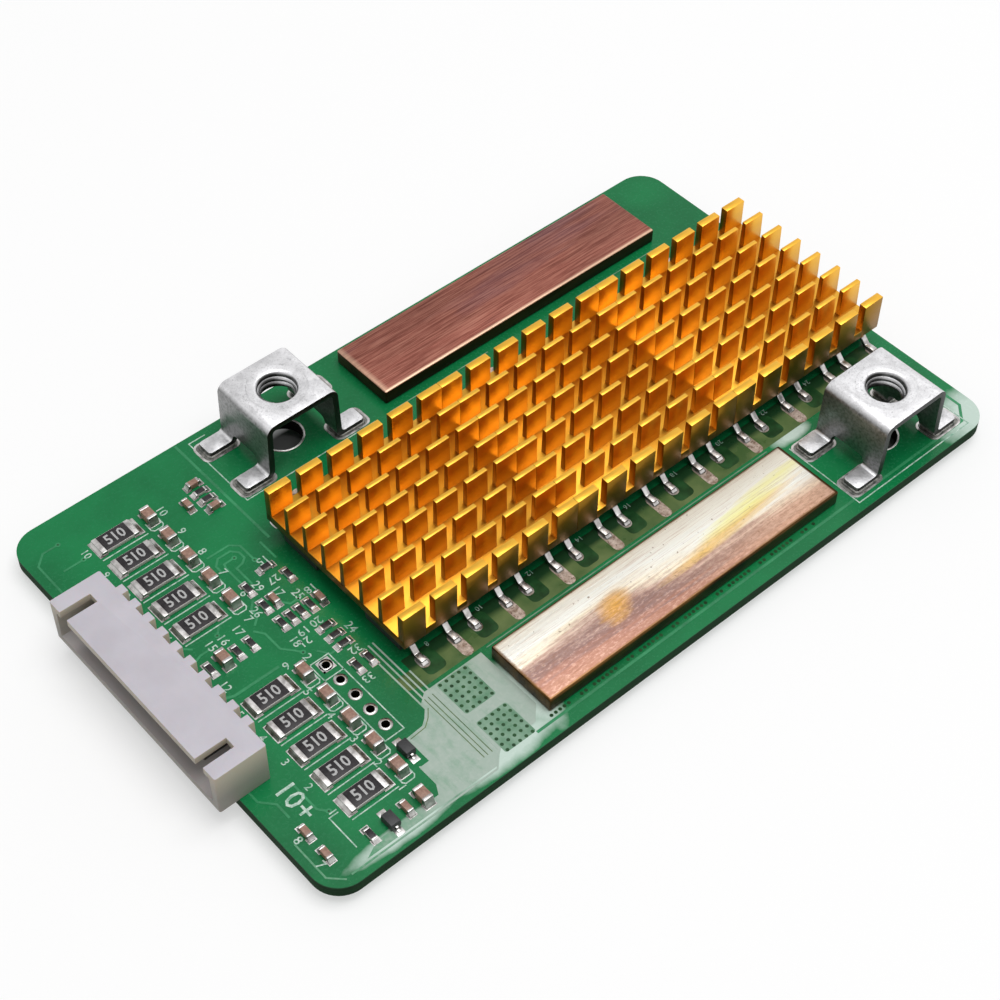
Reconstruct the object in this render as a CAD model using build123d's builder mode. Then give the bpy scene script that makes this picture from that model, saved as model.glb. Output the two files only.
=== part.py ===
from build123d import *
import os
from math import atan2, degrees

# Circuit board
board_length = 100.0
board_width = 60.0
board_thickness = 1.6
board_corner_radius = 3.5

# Side-entry connector: its mouth hangs over the board's left edge
pin_count = 11
pin_pitch = 2.5
pin_size = 0.64
pin_tip_taper = 0.15
pin_bend = 0.35
pin_height = 2.9
pin_row_x = 4.5
pin_tail = 1.5
pin_recess = 1.6
pin_clearance = 0.01
connector_y = 0.4
mouth_overhang = 2.45
housing_depth = 6.45
housing_height = 6.0
housing_end = 2.45
housing_top_wall = 1.0
housing_bottom_wall = 0.9
housing_end_wall = 1.1
housing_rear_wall = 1.2
housing_edge_radius = 0.25
rib_width = 1.2
rib_depth = 0.8
key_slot_width = 1.4
key_slot_length = 3.9
key_slot_inset = 2.0

# Power transistors: two rows of ten, leads outwards, tabs inwards
transistor_count = 10
transistor_pitch = 7.5
transistor_first_x = 27.55
transistor_body_width = 6.6
transistor_body_length = 6.1
transistor_height = 2.3
transistor_parting = 1.0
transistor_draft = 6.0
row_offset = 7.3
tab_width = 5.3
tab_reach = 1.0
tab_thickness = 0.5
tab_corner = 0.6
lead_spacing = 4.57
lead_width = 0.76
lead_thickness = 0.5
lead_reach = 2.9
lead_shoulder = 0.8
lead_foot = 1.35
stub_reach = 0.6

# Finned heatsink: three equal blocks end to end
block_count = 3
block_length = 25.0
block_height = 5.0
block_base = 1.2
heatsink_left_x = 23.5
heatsink_y = -0.45
heatsink_width = 24.25
fin_rows = 8
fin_columns = 6
fin_pitch = 3.27
fin_root = 0.8
fin_tip = 0.6
side_fin = 1.0
fin_gap = 1.28
pad_thickness = 0.5
pad_margin = 1.0

# Copper current bars
bar_length = 44.5
bar_width = 9.5
bar_height = 2.0
bar_edge_radius = 0.3
front_bar_x = 53.4
front_bar_y = -22.55
rear_bar_x = 68.7
rear_bar_y = 23.5

# Folded screw terminals
sheet = 0.8
terminal_height = 8.2
terminal_width = 9.6
crown_half = 5.1
knee_half = 5.35
foot_tip_half = 8.65
fold_radius = 0.9
arch_width = 4.9
arch_height = 1.9
arch_radius = 0.8
collar_radius = 2.9
collar_length = 1.6
thread_radius = 2.1
thread_lead_in = 0.5
screw_clearance_radius = 2.5
left_terminal_x = 34.0
left_terminal_y = 23.0
right_terminal_x = 87.1
right_terminal_y = -23.1

# Row of five plated holes for a plug-in lead
header_count = 5
header_pitch = 2.54
header_hole_radius = 0.5
header_x = 17.1
header_first_y = -6.94

# Balance resistors and filter capacitors, in two groups of five
group_count = 5
group_pitch = 3.96
front_group_y = -14.31
rear_group_y = 14.63
resistor_column_x = 10.0
resistor_length = 5.0
resistor_width = 2.5
resistor_height = 0.55
resistor_cap = 0.7
resistor_coat_inset = 0.12
capacitor_column_x = 14.6
capacitor_length = 2.0
capacitor_width = 1.25
capacitor_height = 1.25
capacitor_cap = 0.45

# Small chip parts
small_length = 1.6
small_width = 0.8
small_resistor_height = 0.45
small_capacitor_height = 0.8
small_cap = 0.3
cap_skin = 0.03
chip_row_y = 0.6
chip_row_pitch = 1.31
chip_column_x = 16.9

# Small two-lead diodes
diode_width = 1.3
diode_length = 1.8
diode_height = 1.0
diode_seam = 0.45
diode_draft = 5.0
diode_lead_width = 0.35
diode_lead_thickness = 0.15
diode_lead_reach = 0.4

# Cell monitor chip and shunts, on the underside
monitor_x = 20.0
monitor_y = -0.5
monitor_length = 7.8
monitor_width = 4.4
monitor_height = 1.1
monitor_standoff = 0.1
monitor_lead_count = 12
monitor_lead_pitch = 0.65
monitor_lead_width = 0.25
monitor_lead_thickness = 0.15
monitor_lead_reach = 1.0
monitor_lead_foot = 0.5
shunt_x = 34.0
shunt_y = 12.0
shunt_spacing = 6.0
shunt_length = 6.4
shunt_width = 3.2
shunt_height = 0.6
shunt_cap = 1.1

# Places that follow from the sizes above
board_left = mouth_overhang - (board_length + mouth_overhang) / 2
board_bottom = pin_tail
board_top = board_bottom + board_thickness
pin_span = (pin_count - 1) * pin_pitch
pin_opening = pin_size + 2 * pin_clearance
housing_length = pin_span + 2 * housing_end
header_span = (header_count - 1) * header_pitch
heatsink_length = block_count * block_length
heatsink_bottom = transistor_height + pad_thickness
fin_height = block_height - block_base
fin_slope = degrees(atan2(fin_height, (fin_root - fin_tip) / 2))
column_pitch = (block_length + fin_gap) / fin_columns


def board_plane(x, y, height=0.0, facing=(1, 0, 0)):
    """Plane parallel to the board, placed from its left edge and centre line."""
    return Plane(origin=(board_left + x, y, board_top + height), x_dir=facing, z_dir=(0, 0, 1))


def underside_plane(x, y, facing=(1, 0, 0)):
    """Plane on the board's underside, facing down."""
    return Plane(origin=(board_left + x, y, board_bottom), x_dir=facing, z_dir=(0, 0, -1))


def front_view(base):
    """Upright plane through another plane's centre: X along it, Y up."""
    return Plane(origin=base.origin, x_dir=base.x_dir, z_dir=base.y_dir * -1)


def end_view(base):
    """Upright plane through another plane's centre: X across it, Y up."""
    return Plane(origin=base.origin, x_dir=base.y_dir, z_dir=base.x_dir)


def finish(piece, name):
    """Names one finished piece and writes it."""
    piece.label = name
    export_step(piece, f"parts/{name}.step")


def chip(plane, length, width, height, cap, coat_inset=None):
    """A chip part: a body between two end caps a little prouder, with a raised coat if it has one."""
    with BuildPart() as piece:
        with BuildSketch(plane):
            Rectangle(length - 2 * cap, width - 2 * cap_skin)
        extrude(amount=height - cap_skin)
        with BuildSketch(plane):
            with GridLocations(length - cap, 0, 2, 1):
                Rectangle(cap, width)
        extrude(amount=height)
        if coat_inset is not None:
            with BuildSketch(plane):
                Rectangle(length - 2 * cap, width - 2 * coat_inset)
            extrude(amount=height)
    return piece.part


def bent_lead(plane, points, thickness, width):
    """A flat lead: its bends drawn on an upright plane, its width even on both sides of it."""
    with BuildPart() as lead:
        with BuildSketch(plane):
            with BuildLine():
                Polyline(*points)
            trace(line_width=thickness)
        extrude(amount=width / 2, both=True)
    return lead.part


def group_rows():
    """Y places of the ten resistor rows, front group first."""
    for group_y in (front_group_y, rear_group_y):
        for row in range(group_count):
            yield group_y + (row - (group_count - 1) / 2) * group_pitch


os.makedirs("parts", exist_ok=True)

# Circuit board, drilled. The connector's holes are closed to its pins, as the solder leaves them
with BuildPart() as circuit_board:
    with BuildSketch(Plane.XY.offset(board_bottom)):
        with Locations((board_left + board_length / 2, 0)):
            RectangleRounded(board_length, board_width, board_corner_radius)
        with Locations(
            (board_left + left_terminal_x, left_terminal_y),
            (board_left + right_terminal_x, right_terminal_y),
        ):
            Circle(screw_clearance_radius, mode=Mode.SUBTRACT)
        with Locations((board_left + header_x, header_first_y - header_span / 2)):
            with GridLocations(0, header_pitch, 1, header_count):
                Circle(header_hole_radius, mode=Mode.SUBTRACT)
        with Locations((board_left + pin_row_x, connector_y)):
            with GridLocations(0, pin_pitch, 1, pin_count):
                Rectangle(pin_opening, pin_opening, mode=Mode.SUBTRACT)
    extrude(amount=board_thickness)
finish(circuit_board.part, "circuit_board")

# Heatsink blocks: a comb profile with thicker side fins, cut across into separate fins
block_names = ("heatsink_left", "heatsink_centre", "heatsink_right")
for index, block_name in enumerate(block_names):
    block_x = heatsink_left_x + (index + 0.5) * block_length
    block_seat = board_plane(block_x, heatsink_y, heatsink_bottom)
    with BuildPart() as block:
        with BuildSketch(end_view(block_seat)):
            Rectangle(heatsink_width, block_base, align=(Align.CENTER, Align.MIN))
            with Locations((0, block_base)):
                with GridLocations(fin_pitch, 0, fin_rows - 2, 1):
                    Trapezoid(fin_root, fin_height, fin_slope, align=(Align.CENTER, Align.MIN))
                with GridLocations(heatsink_width - side_fin, 0, 2, 1):
                    Rectangle(side_fin, fin_height, align=(Align.CENTER, Align.MIN))
        extrude(amount=block_length / 2, both=True)
        with BuildSketch(block_seat.offset(block_base)):
            with GridLocations(column_pitch, 0, fin_columns - 1, 1):
                Rectangle(fin_gap, heatsink_width)
        extrude(amount=fin_height, mode=Mode.SUBTRACT)
    finish(block.part, block_name)

# Thermal pad between the transistors and the heatsink
with BuildPart() as thermal_pad:
    with BuildSketch(board_plane(heatsink_left_x + heatsink_length / 2, heatsink_y, transistor_height)):
        Rectangle(heatsink_length - 2 * pad_margin, heatsink_width - 2 * pad_margin)
    extrude(amount=pad_thickness)
finish(thermal_pad.part, "thermal_pad")

# Power transistors: a moulded body, a tab towards the middle and two bent leads
body_half = transistor_body_length / 2
lead_points = [
    (-body_half + lead_shoulder, transistor_parting),
    (-body_half - lead_shoulder, transistor_parting),
    (-body_half - lead_reach + lead_foot, lead_thickness / 2),
    (-body_half - lead_reach, lead_thickness / 2),
]
with BuildPart() as transistor:
    with BuildSketch(Plane.XY.offset(transistor_parting)):
        Rectangle(transistor_body_width, transistor_body_length)
    extrude(amount=transistor_height - transistor_parting, taper=transistor_draft)
    with BuildSketch(Plane.XY.offset(transistor_parting)):
        Rectangle(transistor_body_width, transistor_body_length)
    extrude(amount=-transistor_parting, taper=transistor_draft)
    with BuildSketch():
        with Locations((0, (body_half + tab_reach) / 2)):
            tab = Rectangle(tab_width, body_half + tab_reach)
        chamfer(tab.vertices().sort_by(Axis.Y)[-2:], tab_corner)
    extrude(amount=tab_thickness)
    for lead_x in (-lead_spacing / 2, lead_spacing / 2):
        add(bent_lead(Plane.YZ.offset(lead_x), lead_points, lead_thickness, lead_width))
    with BuildSketch(Plane.XY.offset(transistor_parting)):
        with Locations((0, -body_half)):
            Rectangle(lead_width, 2 * stub_reach)
    extrude(amount=lead_thickness / 2, both=True)
for row_name, side in (("front", -1), ("rear", 1)):
    row_y = heatsink_y + side * row_offset
    for index in range(transistor_count):
        seat = board_plane(transistor_first_x + index * transistor_pitch, row_y, 0, (-side, 0, 0))
        with BuildPart(seat) as placed_transistor:
            add(transistor.part)
        finish(placed_transistor.part, f"{row_name}_transistor_{index + 1:02d}")

# Copper bars
for bar_name, bar_x, bar_y in (
    ("front_copper_bar", front_bar_x, front_bar_y),
    ("rear_copper_bar", rear_bar_x, rear_bar_y),
):
    with BuildPart() as bar:
        with BuildSketch(board_plane(bar_x, bar_y)):
            Rectangle(bar_length, bar_width)
        extrude(amount=bar_height)
        fillet(bar.faces().sort_by(Axis.Z)[-1].edges(), bar_edge_radius)
    finish(bar.part, bar_name)

# Terminals: a strip folded into a bridge on four feet, with a drawn and tapped collar
for terminal_name, terminal_x, terminal_y in (
    ("left_terminal", left_terminal_x, left_terminal_y),
    ("right_terminal", right_terminal_x, right_terminal_y),
):
    seat = board_plane(terminal_x, terminal_y)
    crown = seat.offset(terminal_height)
    mid = sheet / 2
    with BuildPart() as terminal:
        with BuildSketch(front_view(seat)):
            with BuildLine():
                FilletPolyline(
                    (-foot_tip_half, mid),
                    (-knee_half + mid, mid),
                    (-crown_half + mid, terminal_height - mid),
                    (crown_half - mid, terminal_height - mid),
                    (knee_half - mid, mid),
                    (foot_tip_half, mid),
                    radius=fold_radius,
                )
            trace(line_width=sheet)
        extrude(amount=terminal_width / 2, both=True)
        with BuildSketch(end_view(seat)):
            arch = Rectangle(arch_width, arch_height, align=(Align.CENTER, Align.MIN))
            fillet(arch.vertices().group_by(Axis.Z)[-1], arch_radius)
        extrude(amount=foot_tip_half, both=True, mode=Mode.SUBTRACT)
        with BuildSketch(crown.offset(-mid)):
            Circle(collar_radius)
        extrude(amount=-mid - collar_length)
        with BuildSketch(crown):
            Circle(thread_radius)
        extrude(amount=-sheet - collar_length, mode=Mode.SUBTRACT)
        mouth = terminal.edges().filter_by(GeomType.CIRCLE).sort_by(Axis.Z)[-1]
        chamfer(mouth, thread_lead_in)
    finish(terminal.part, terminal_name)

# Connector housing, open towards the board's left edge
housing_seat = board_plane(-mouth_overhang + housing_depth / 2, connector_y)
cavity_height = housing_height - housing_top_wall - housing_bottom_wall
cavity_depth = housing_depth - housing_rear_wall
with BuildPart() as connector_housing:
    with BuildSketch(housing_seat):
        Rectangle(housing_depth, housing_length)
    extrude(amount=housing_height)
    fillet(connector_housing.edges().filter_by(Axis.Z), housing_edge_radius)
    with BuildSketch(board_plane(-mouth_overhang + housing_depth, connector_y)):
        with GridLocations(0, pin_pitch, 1, pin_count - 1):
            Rectangle(2 * rib_depth, rib_width)
    extrude(amount=housing_height)
    with BuildSketch(board_plane(-mouth_overhang, connector_y, housing_bottom_wall)):
        Rectangle(cavity_depth, housing_length - 2 * housing_end_wall, align=(Align.MIN, Align.CENTER))
    extrude(amount=cavity_height, mode=Mode.SUBTRACT)
    with BuildSketch(board_plane(-mouth_overhang, connector_y, housing_height - housing_top_wall)):
        with GridLocations(0, housing_length - 2 * key_slot_inset - key_slot_width, 1, 2):
            Rectangle(key_slot_length, key_slot_width, align=(Align.MIN, Align.CENTER))
    extrude(amount=housing_top_wall, mode=Mode.SUBTRACT)
    with BuildSketch(end_view(board_plane(-mouth_overhang + cavity_depth, connector_y, pin_height))):
        with GridLocations(pin_pitch, 0, pin_count, 1):
            Rectangle(pin_opening, pin_opening)
    extrude(amount=housing_rear_wall, mode=Mode.SUBTRACT)
finish(connector_housing.part, "connector_housing")

# Connector pins: square wire, bent down through the board
pin_points = [
    (-mouth_overhang + pin_recess, pin_height),
    (pin_row_x - pin_bend, pin_height),
    (pin_row_x, pin_height - pin_bend),
    (pin_row_x, -board_thickness - pin_tail),
]
with BuildPart() as connector_pins:
    for index in range(pin_count):
        pin_y = connector_y + (index - (pin_count - 1) / 2) * pin_pitch
        upright = front_view(board_plane(0, pin_y))
        add(bent_lead(upright, pin_points, pin_size, pin_size))
    tips = connector_pins.faces().group_by(Axis.X)[0] + connector_pins.faces().group_by(Axis.Z)[0]
    chamfer(tips.edges(), pin_tip_taper)
finish(connector_pins.part, "connector_pins")

# Balance resistors and the filter capacitors beside them
for number, row_y in enumerate(group_rows(), start=1):
    resistor = chip(
        board_plane(resistor_column_x, row_y),
        resistor_length,
        resistor_width,
        resistor_height,
        resistor_cap,
        resistor_coat_inset,
    )
    finish(resistor, f"balance_resistor_{number:02d}")
    capacitor = chip(
        board_plane(capacitor_column_x, row_y, 0, (0, 1, 0)),
        capacitor_length,
        capacitor_width,
        capacitor_height,
        capacitor_cap,
    )
    finish(capacitor, f"filter_capacitor_{number:02d}")

# Small chip resistors: a row beside the heatsink, and singles round it
chip_row = [(chip_column_x + column * chip_row_pitch, chip_row_y) for column in range(4)]
upright_resistors = chip_row + [
    (7.3, chip_row_y),
    (10.9, chip_row_y),
    (12.7, chip_row_y),
    (chip_column_x, 6.8),
    (chip_column_x, 3.7),
    (21.6, 5.6),
    (19.5, -9.3),
    (21.2, -9.3),
    (7.4, -26.6),
]
level_resistors = [(21.3, 21.9), (21.3, 20.5), (20.3, 8.0), (20.3, -2.9), (20.3, -4.5), (20.3, -6.0)]
with BuildPart() as chip_resistors:
    for x, y in upright_resistors:
        seat = board_plane(x, y, 0, (0, 1, 0))
        add(chip(seat, small_length, small_width, small_resistor_height, small_cap, cap_skin))
    for x, y in level_resistors:
        seat = board_plane(x, y)
        add(chip(seat, small_length, small_width, small_resistor_height, small_cap, cap_skin))
finish(chip_resistors.part, "chip_resistors")

# Small chip capacitors, and two of the larger size
upright_capacitors = [
    (18.2, 3.7),
    (22.2, chip_row_y),
    (19.0, 21.1),
    (2.6, -22.2),
    (2.6, -25.5),
    (12.1, -26.6),
]
level_capacitors = [(21.3, 23.3), (21.3, 19.0)]
large_capacitors = [(9.1, chip_row_y), (14.2, -26.7)]
with BuildPart() as chip_capacitors:
    for x, y in upright_capacitors:
        seat = board_plane(x, y, 0, (0, 1, 0))
        add(chip(seat, small_length, small_width, small_capacitor_height, small_cap))
    for x, y in level_capacitors:
        add(chip(board_plane(x, y), small_length, small_width, small_capacitor_height, small_cap))
    for x, y in large_capacitors:
        seat = board_plane(x, y, 0, (0, 1, 0))
        add(chip(seat, capacitor_length, capacitor_width, capacitor_height, capacitor_cap))
finish(chip_capacitors.part, "chip_capacitors")

# Small diodes: a tapered body and a lead at each end
diode_half = diode_length / 2
diode_lead_points = [
    (diode_half - diode_lead_reach, diode_seam),
    (diode_half + diode_lead_thickness, diode_seam),
    (diode_half + diode_lead_thickness, diode_lead_thickness / 2),
    (diode_half + diode_lead_thickness + diode_lead_reach, diode_lead_thickness / 2),
]
for name, x, y in (("left_diode", 9.9, -26.8), ("right_diode", 16.6, -21.1)):
    seat = board_plane(x, y)
    with BuildPart() as diode:
        with BuildSketch(seat.offset(diode_seam)):
            Rectangle(diode_width, diode_length)
        extrude(amount=diode_height - diode_seam, taper=diode_draft)
        with BuildSketch(seat.offset(diode_seam)):
            Rectangle(diode_width, diode_length)
        extrude(amount=-diode_seam, taper=diode_draft)
        for facing in ((0, 1, 0), (0, -1, 0)):
            upright = front_view(board_plane(x, y, 0, facing))
            add(bent_lead(upright, diode_lead_points, diode_lead_thickness, diode_lead_width))
    finish(diode.part, name)

# Cell monitor chip on the underside, with a row of gull-wing leads on each long side
monitor_half = monitor_width / 2
monitor_middle = monitor_standoff + (monitor_height - monitor_standoff) / 2
monitor_lead_points = [
    (monitor_half - monitor_lead_reach, monitor_middle),
    (monitor_half + (monitor_lead_reach - monitor_lead_foot) / 2, monitor_middle),
    (monitor_half + monitor_lead_reach - monitor_lead_foot, monitor_lead_thickness / 2),
    (monitor_half + monitor_lead_reach, monitor_lead_thickness / 2),
]
monitor_seat = underside_plane(monitor_x, monitor_y)
with BuildPart() as monitor_chip:
    with BuildSketch(monitor_seat.offset(monitor_standoff)):
        Rectangle(monitor_width, monitor_length)
    extrude(amount=monitor_height - monitor_standoff)
    for facing in ((1, 0, 0), (-1, 0, 0)):
        for lead in range(monitor_lead_count):
            lead_y = monitor_y + (lead - (monitor_lead_count - 1) / 2) * monitor_lead_pitch
            upright = front_view(underside_plane(monitor_x, lead_y, facing))
            add(bent_lead(upright, monitor_lead_points, monitor_lead_thickness, monitor_lead_width))
finish(monitor_chip.part, "monitor_chip")

# Shunt resistors side by side on the underside
with BuildPart() as shunt_resistors:
    for side in (-1, 1):
        seat = underside_plane(shunt_x + side * shunt_spacing / 2, shunt_y, (0, 1, 0))
        add(chip(seat, shunt_length, shunt_width, shunt_height, shunt_cap, resistor_coat_inset))
finish(shunt_resistors.part, "shunt_resistors")
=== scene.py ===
import functools
import math

import bmesh
import bpy
from bpy.props import FloatProperty, FloatVectorProperty, IntProperty, PointerProperty, StringProperty
from mathutils import Matrix, Vector


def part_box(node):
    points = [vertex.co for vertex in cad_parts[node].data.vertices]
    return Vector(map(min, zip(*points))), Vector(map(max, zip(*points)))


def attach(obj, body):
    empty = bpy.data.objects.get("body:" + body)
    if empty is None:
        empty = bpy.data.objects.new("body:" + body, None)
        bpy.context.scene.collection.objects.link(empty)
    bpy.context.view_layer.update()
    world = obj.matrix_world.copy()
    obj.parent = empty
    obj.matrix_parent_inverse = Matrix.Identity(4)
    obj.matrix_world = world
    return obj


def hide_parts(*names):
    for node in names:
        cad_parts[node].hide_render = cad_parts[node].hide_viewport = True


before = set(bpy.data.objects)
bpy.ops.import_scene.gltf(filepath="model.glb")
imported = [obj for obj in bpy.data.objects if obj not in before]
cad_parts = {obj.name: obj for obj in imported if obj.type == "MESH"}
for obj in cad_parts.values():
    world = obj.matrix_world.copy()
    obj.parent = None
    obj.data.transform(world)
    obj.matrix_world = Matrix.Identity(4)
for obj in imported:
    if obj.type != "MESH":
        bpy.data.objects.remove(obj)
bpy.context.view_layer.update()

bl_info = {
    "name": "Battery Management Board",
    "version": (1, 0, 0),
    "blender": (4, 5, 0),
    "location": "3D View > Sidebar > Power Board",
    "description": "Dresses the packed battery management board: solder, printing, folded terminals and finishes",
    "category": "Add Mesh",
}

# Pieces are modelled in millimetres on the board: x from its left edge, y from its centre line, z from its top
board_low, board_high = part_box("circuit_board")
TO_FRAME = Matrix.Translation((board_low.x, 0, board_high.z)) @ Matrix.Scale(0.001, 4)
FROM_FRAME = TO_FRAME.inverted()
LAMINATE = (board_high.z - board_low.z) * 1000
ROWS = range(1, 11)
TERMINALS = ("left_terminal", "right_terminal")
BARS = ("front_copper_bar", "rear_copper_bar")
PIN_X = 4.5
HEADER = (17.1, -6.94)
HEADER_PITCH = 2.54
TRANSISTOR_PITCH = 7.5
LEAD_SPACING = 4.57
CHIP_LEAD_PITCH = 0.65
SHUNT_CAP = 1.1
PRINT_LEVEL = 0.03


def length(name, description, default):
    return FloatProperty(name=name, description=description, default=default)


def tint(name, description, default):
    return FloatVectorProperty(name=name, description=description, subtype="COLOR", default=default)


class Sizes(bpy.types.PropertyGroup):
    """Lengths of the dressed pieces, in millimetres."""

    edge: length("Moulded edge", "Radius along the edges of moulded parts", 0.2)
    fin_edge: length("Fin edge", "Broken edge of the heatsink's fins", 0.07)
    print_height: length("Print height", "Top of the white printing above the board", 0.04)
    print_width: length("Print width", "Width of the printed lines", 0.14)
    track_height: length("Track height", "Height of the covered copper tracks", 0.028)
    thread_pitch: length("Thread pitch", "Pitch of the tapped thread", 0.76)
    thread_outer: length("Thread outer radius", "Root radius of the thread", 2.32)
    thread_inner: length("Thread inner radius", "Crest radius of the thread", 2.04)


class Colours(bpy.types.PropertyGroup):
    """Base colours of the finishes, in linear RGB."""

    mask: tint("Solder mask", "Green over bare laminate", (0.004, 0.185, 0.055))
    track: tint("Covered copper", "Green over tracks and pours", (0.035, 0.27, 0.11))
    gold: tint("Gold anodising", "Colour of the heatsink", (0.95, 0.525, 0.065))
    tin: tint("Tin", "Colour of plated sheet", (0.84, 0.835, 0.85))
    nylon: tint("Nylon", "Colour of the connector", (0.6, 0.57, 0.625))
    rear_copper: tint("Dull copper", "Colour of the rear bar", (0.28, 0.09, 0.065))


def colours():
    return bpy.context.scene.board_colours


def sizes():
    return bpy.context.scene.board_sizes


# Finishes


def operator(operation, swapped=False):
    """A method of Wire that adds one Math node."""

    def apply(*values):
        ordered = values[::-1] if swapped else values
        return values[0].paint.node("ShaderNodeMath", {"operation": operation}, dict(enumerate(ordered)))

    return apply


class Wire:
    """One output of a finish's nodes. Arithmetic on it adds Math nodes."""

    def __init__(self, paint, socket):
        self.paint = paint
        self.socket = socket

    __add__ = __radd__ = operator("ADD")
    __sub__ = operator("SUBTRACT")
    __rsub__ = operator("SUBTRACT", swapped=True)
    __mul__ = __rmul__ = operator("MULTIPLY")
    __truediv__ = operator("DIVIDE")
    __gt__ = operator("GREATER_THAN")
    __lt__ = operator("LESS_THAN")
    __abs__ = operator("ABSOLUTE")
    __or__ = operator("MAXIMUM")
    __and__ = operator("MINIMUM")


class Nodes:
    """A node tree being filled, of a finish or of the studio's light."""

    def __init__(self, tree):
        self.tree = tree

    def feed(self, socket, value):
        if isinstance(value, Wire):
            self.tree.links.new(value.socket, socket)
        else:
            socket.default_value = value

    def node(self, kind, settings=None, values=None, output=0):
        made = self.tree.nodes.new(kind)
        for key, value in (settings or {}).items():
            if key == "stops":
                ramp = made.color_ramp
                for spot, colour in value[1:-1]:
                    ramp.elements.new(spot)
                for element, (spot, colour) in zip(ramp.elements, value):
                    element.position = spot
                    element.color = (*colour, 1)
            else:
                setattr(made, key, value)
        for socket, value in (values or {}).items():
            self.feed(made.inputs[socket], value)
        return Wire(self, made.outputs[output])

    def parts(self, vector):
        """The three numbers of a vector."""
        split = self.tree.nodes.new("ShaderNodeSeparateXYZ")
        self.feed(split.inputs[0], vector)
        return [Wire(self, split.outputs[i]) for i in range(3)]

    def rays(self, *kinds):
        """1 for rays of the named kinds, 0 for the rest."""
        path = self.tree.nodes.new("ShaderNodeLightPath")
        wires = [Wire(self, path.outputs[f"Is {kind} Ray"]) for kind in kinds]
        return functools.reduce(Wire.__or__, wires)

    def between(self, value, low, high, to_low=0.0, to_high=1.0):
        return self.node("ShaderNodeMapRange", {}, {0: value, 1: low, 2: high, 3: to_low, 4: to_high})

    def mix(self, factor, first, second):
        values = {0: factor, 6: self.opaque(first), 7: self.opaque(second)}
        return self.node("ShaderNodeMix", {"data_type": "RGBA"}, values, 2)

    def tones(self, pattern, first, second, low=0.35, high=0.65):
        """One colour where a pattern is low, another where it is high."""
        return self.mix(self.between(pattern, low, high), first, second)

    def over(self, base, colour, pattern, low, high, most=1.0):
        """A colour laid over another, up to a share of it, as a pattern goes from low to high."""
        return self.mix(self.between(pattern, low, high, 0, most), base, colour)

    def opaque(self, colour):
        return colour if isinstance(colour, Wire) else (*colour, 1)


class Paint(Nodes):
    """The nodes of one finish, round a Principled shader."""

    def __init__(self, name, **uniform):
        self.material = bpy.data.materials.new(name)
        self.material.use_nodes = True
        super().__init__(self.material.node_tree)
        self.shader = self.tree.nodes["Principled BSDF"]
        for socket, value in uniform.items():
            self.shader.inputs[socket.replace("_", " ")].default_value = value
        self.place = self.node("ShaderNodeTexCoord", output="Object")

    def axes(self):
        """Object coordinates in millimetres, from the frame's origin."""
        return [part * 1000 for part in self.parts(self.place)]

    def facing(self):
        """The surface's normal, one wire for each axis."""
        return self.parts(self.node("ShaderNodeNewGeometry", output="Normal"))

    def noise(self, scale, detail=3.0, roughness=0.5):
        """Noise with so many patterns per millimetre, one number or one for each axis."""
        scales = scale if isinstance(scale, tuple) else (scale,) * 3
        stretch = {0: self.place, 1: shade(scales, 1000)}
        vector = self.node("ShaderNodeVectorMath", {"operation": "MULTIPLY"}, stretch)
        values = {"Vector": vector, "Scale": 1.0, "Detail": detail, "Roughness": roughness}
        return self.node("ShaderNodeTexNoise", {}, values, "Fac")

    def finish(self, colour, pattern=None, rough=None, depth_mm=0.0, relief=None):
        """Links the colour, and a range of roughness and a bump that follow a pattern."""
        self.feed(self.shader.inputs["Base Color"], self.opaque(colour))
        if rough:
            self.feed(self.shader.inputs["Roughness"], self.between(pattern, 0.3, 0.7, *rough))
        if depth_mm:
            values = {"Height": relief or pattern, "Distance": depth_mm * 0.001, "Strength": 1.0}
            self.feed(self.shader.inputs["Normal"], self.node("ShaderNodeBump", {}, values, "Normal"))
        return self.material


def shade(colour, factor):
    return tuple(channel * factor for channel in colour)


def cad_span(node):
    """Lowest and highest corner of a CAD node, in millimetres from the frame's origin."""
    low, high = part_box(node)
    return low * 1000, high * 1000


def mottled(name, noise, first, second, low=0.35, high=0.65, rough=None, depth_mm=0.0, **uniform):
    """A finish of two tones that one noise mixes."""
    paint = Paint(name, **uniform)
    pattern = paint.noise(*noise)
    return paint.finish(paint.tones(pattern, first, second, low, high), pattern, rough, depth_mm)


# Painted sheen on the board's top, a painted reflection: middle, half length and half width of each patch
SHEEN_PATCHES = [
    (98.8, -28.5, 6.6, 4.8), (79.5, -16.4, 3.4, 1.3), (24, -28, 9, 2.0), (10.5, -28.4, 8, 1.3), (31, -24, 2.5, 6),
]


def mask_over_laminate(name):
    """Green solder mask over laminate, with patches of painted sheen at the front, a painted reflection on its top.
    """
    paint = Paint(name, Specular_IOR_Level=0.32)
    x, y, z = paint.axes()
    grain = paint.noise(2.5, 4)
    green = paint.tones(paint.noise(0.1, 3), shade(colours().mask, 0.82), shade(colours().mask, 1.15))
    green = paint.over(green, (0.01, 0.21, 0.08), grain, 0.4, 0.8, 0.3)
    cloud = paint.noise(0.35, 5, 0.6)
    # painted reflection: pale sheen patches, on the top faces only
    patches = []
    for middle_x, middle_y, half_x, half_y in SHEEN_PATCHES:
        across = (x - (middle_x + board_low.x * 1000)) / half_x
        along = (y - middle_y) / half_y
        patches.append(paint.between(across * across + along * along + (cloud - 0.5) * 0.9, 1.0, 0.2))
    painted_sheen = functools.reduce(Wire.__or__, patches) * paint.between(z, 2.9, 3.05)
    green = paint.mix(painted_sheen, green, (0.6, 0.74, 0.66))
    return paint.finish(green, grain, (0.2, 0.3), 0.01)


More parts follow.
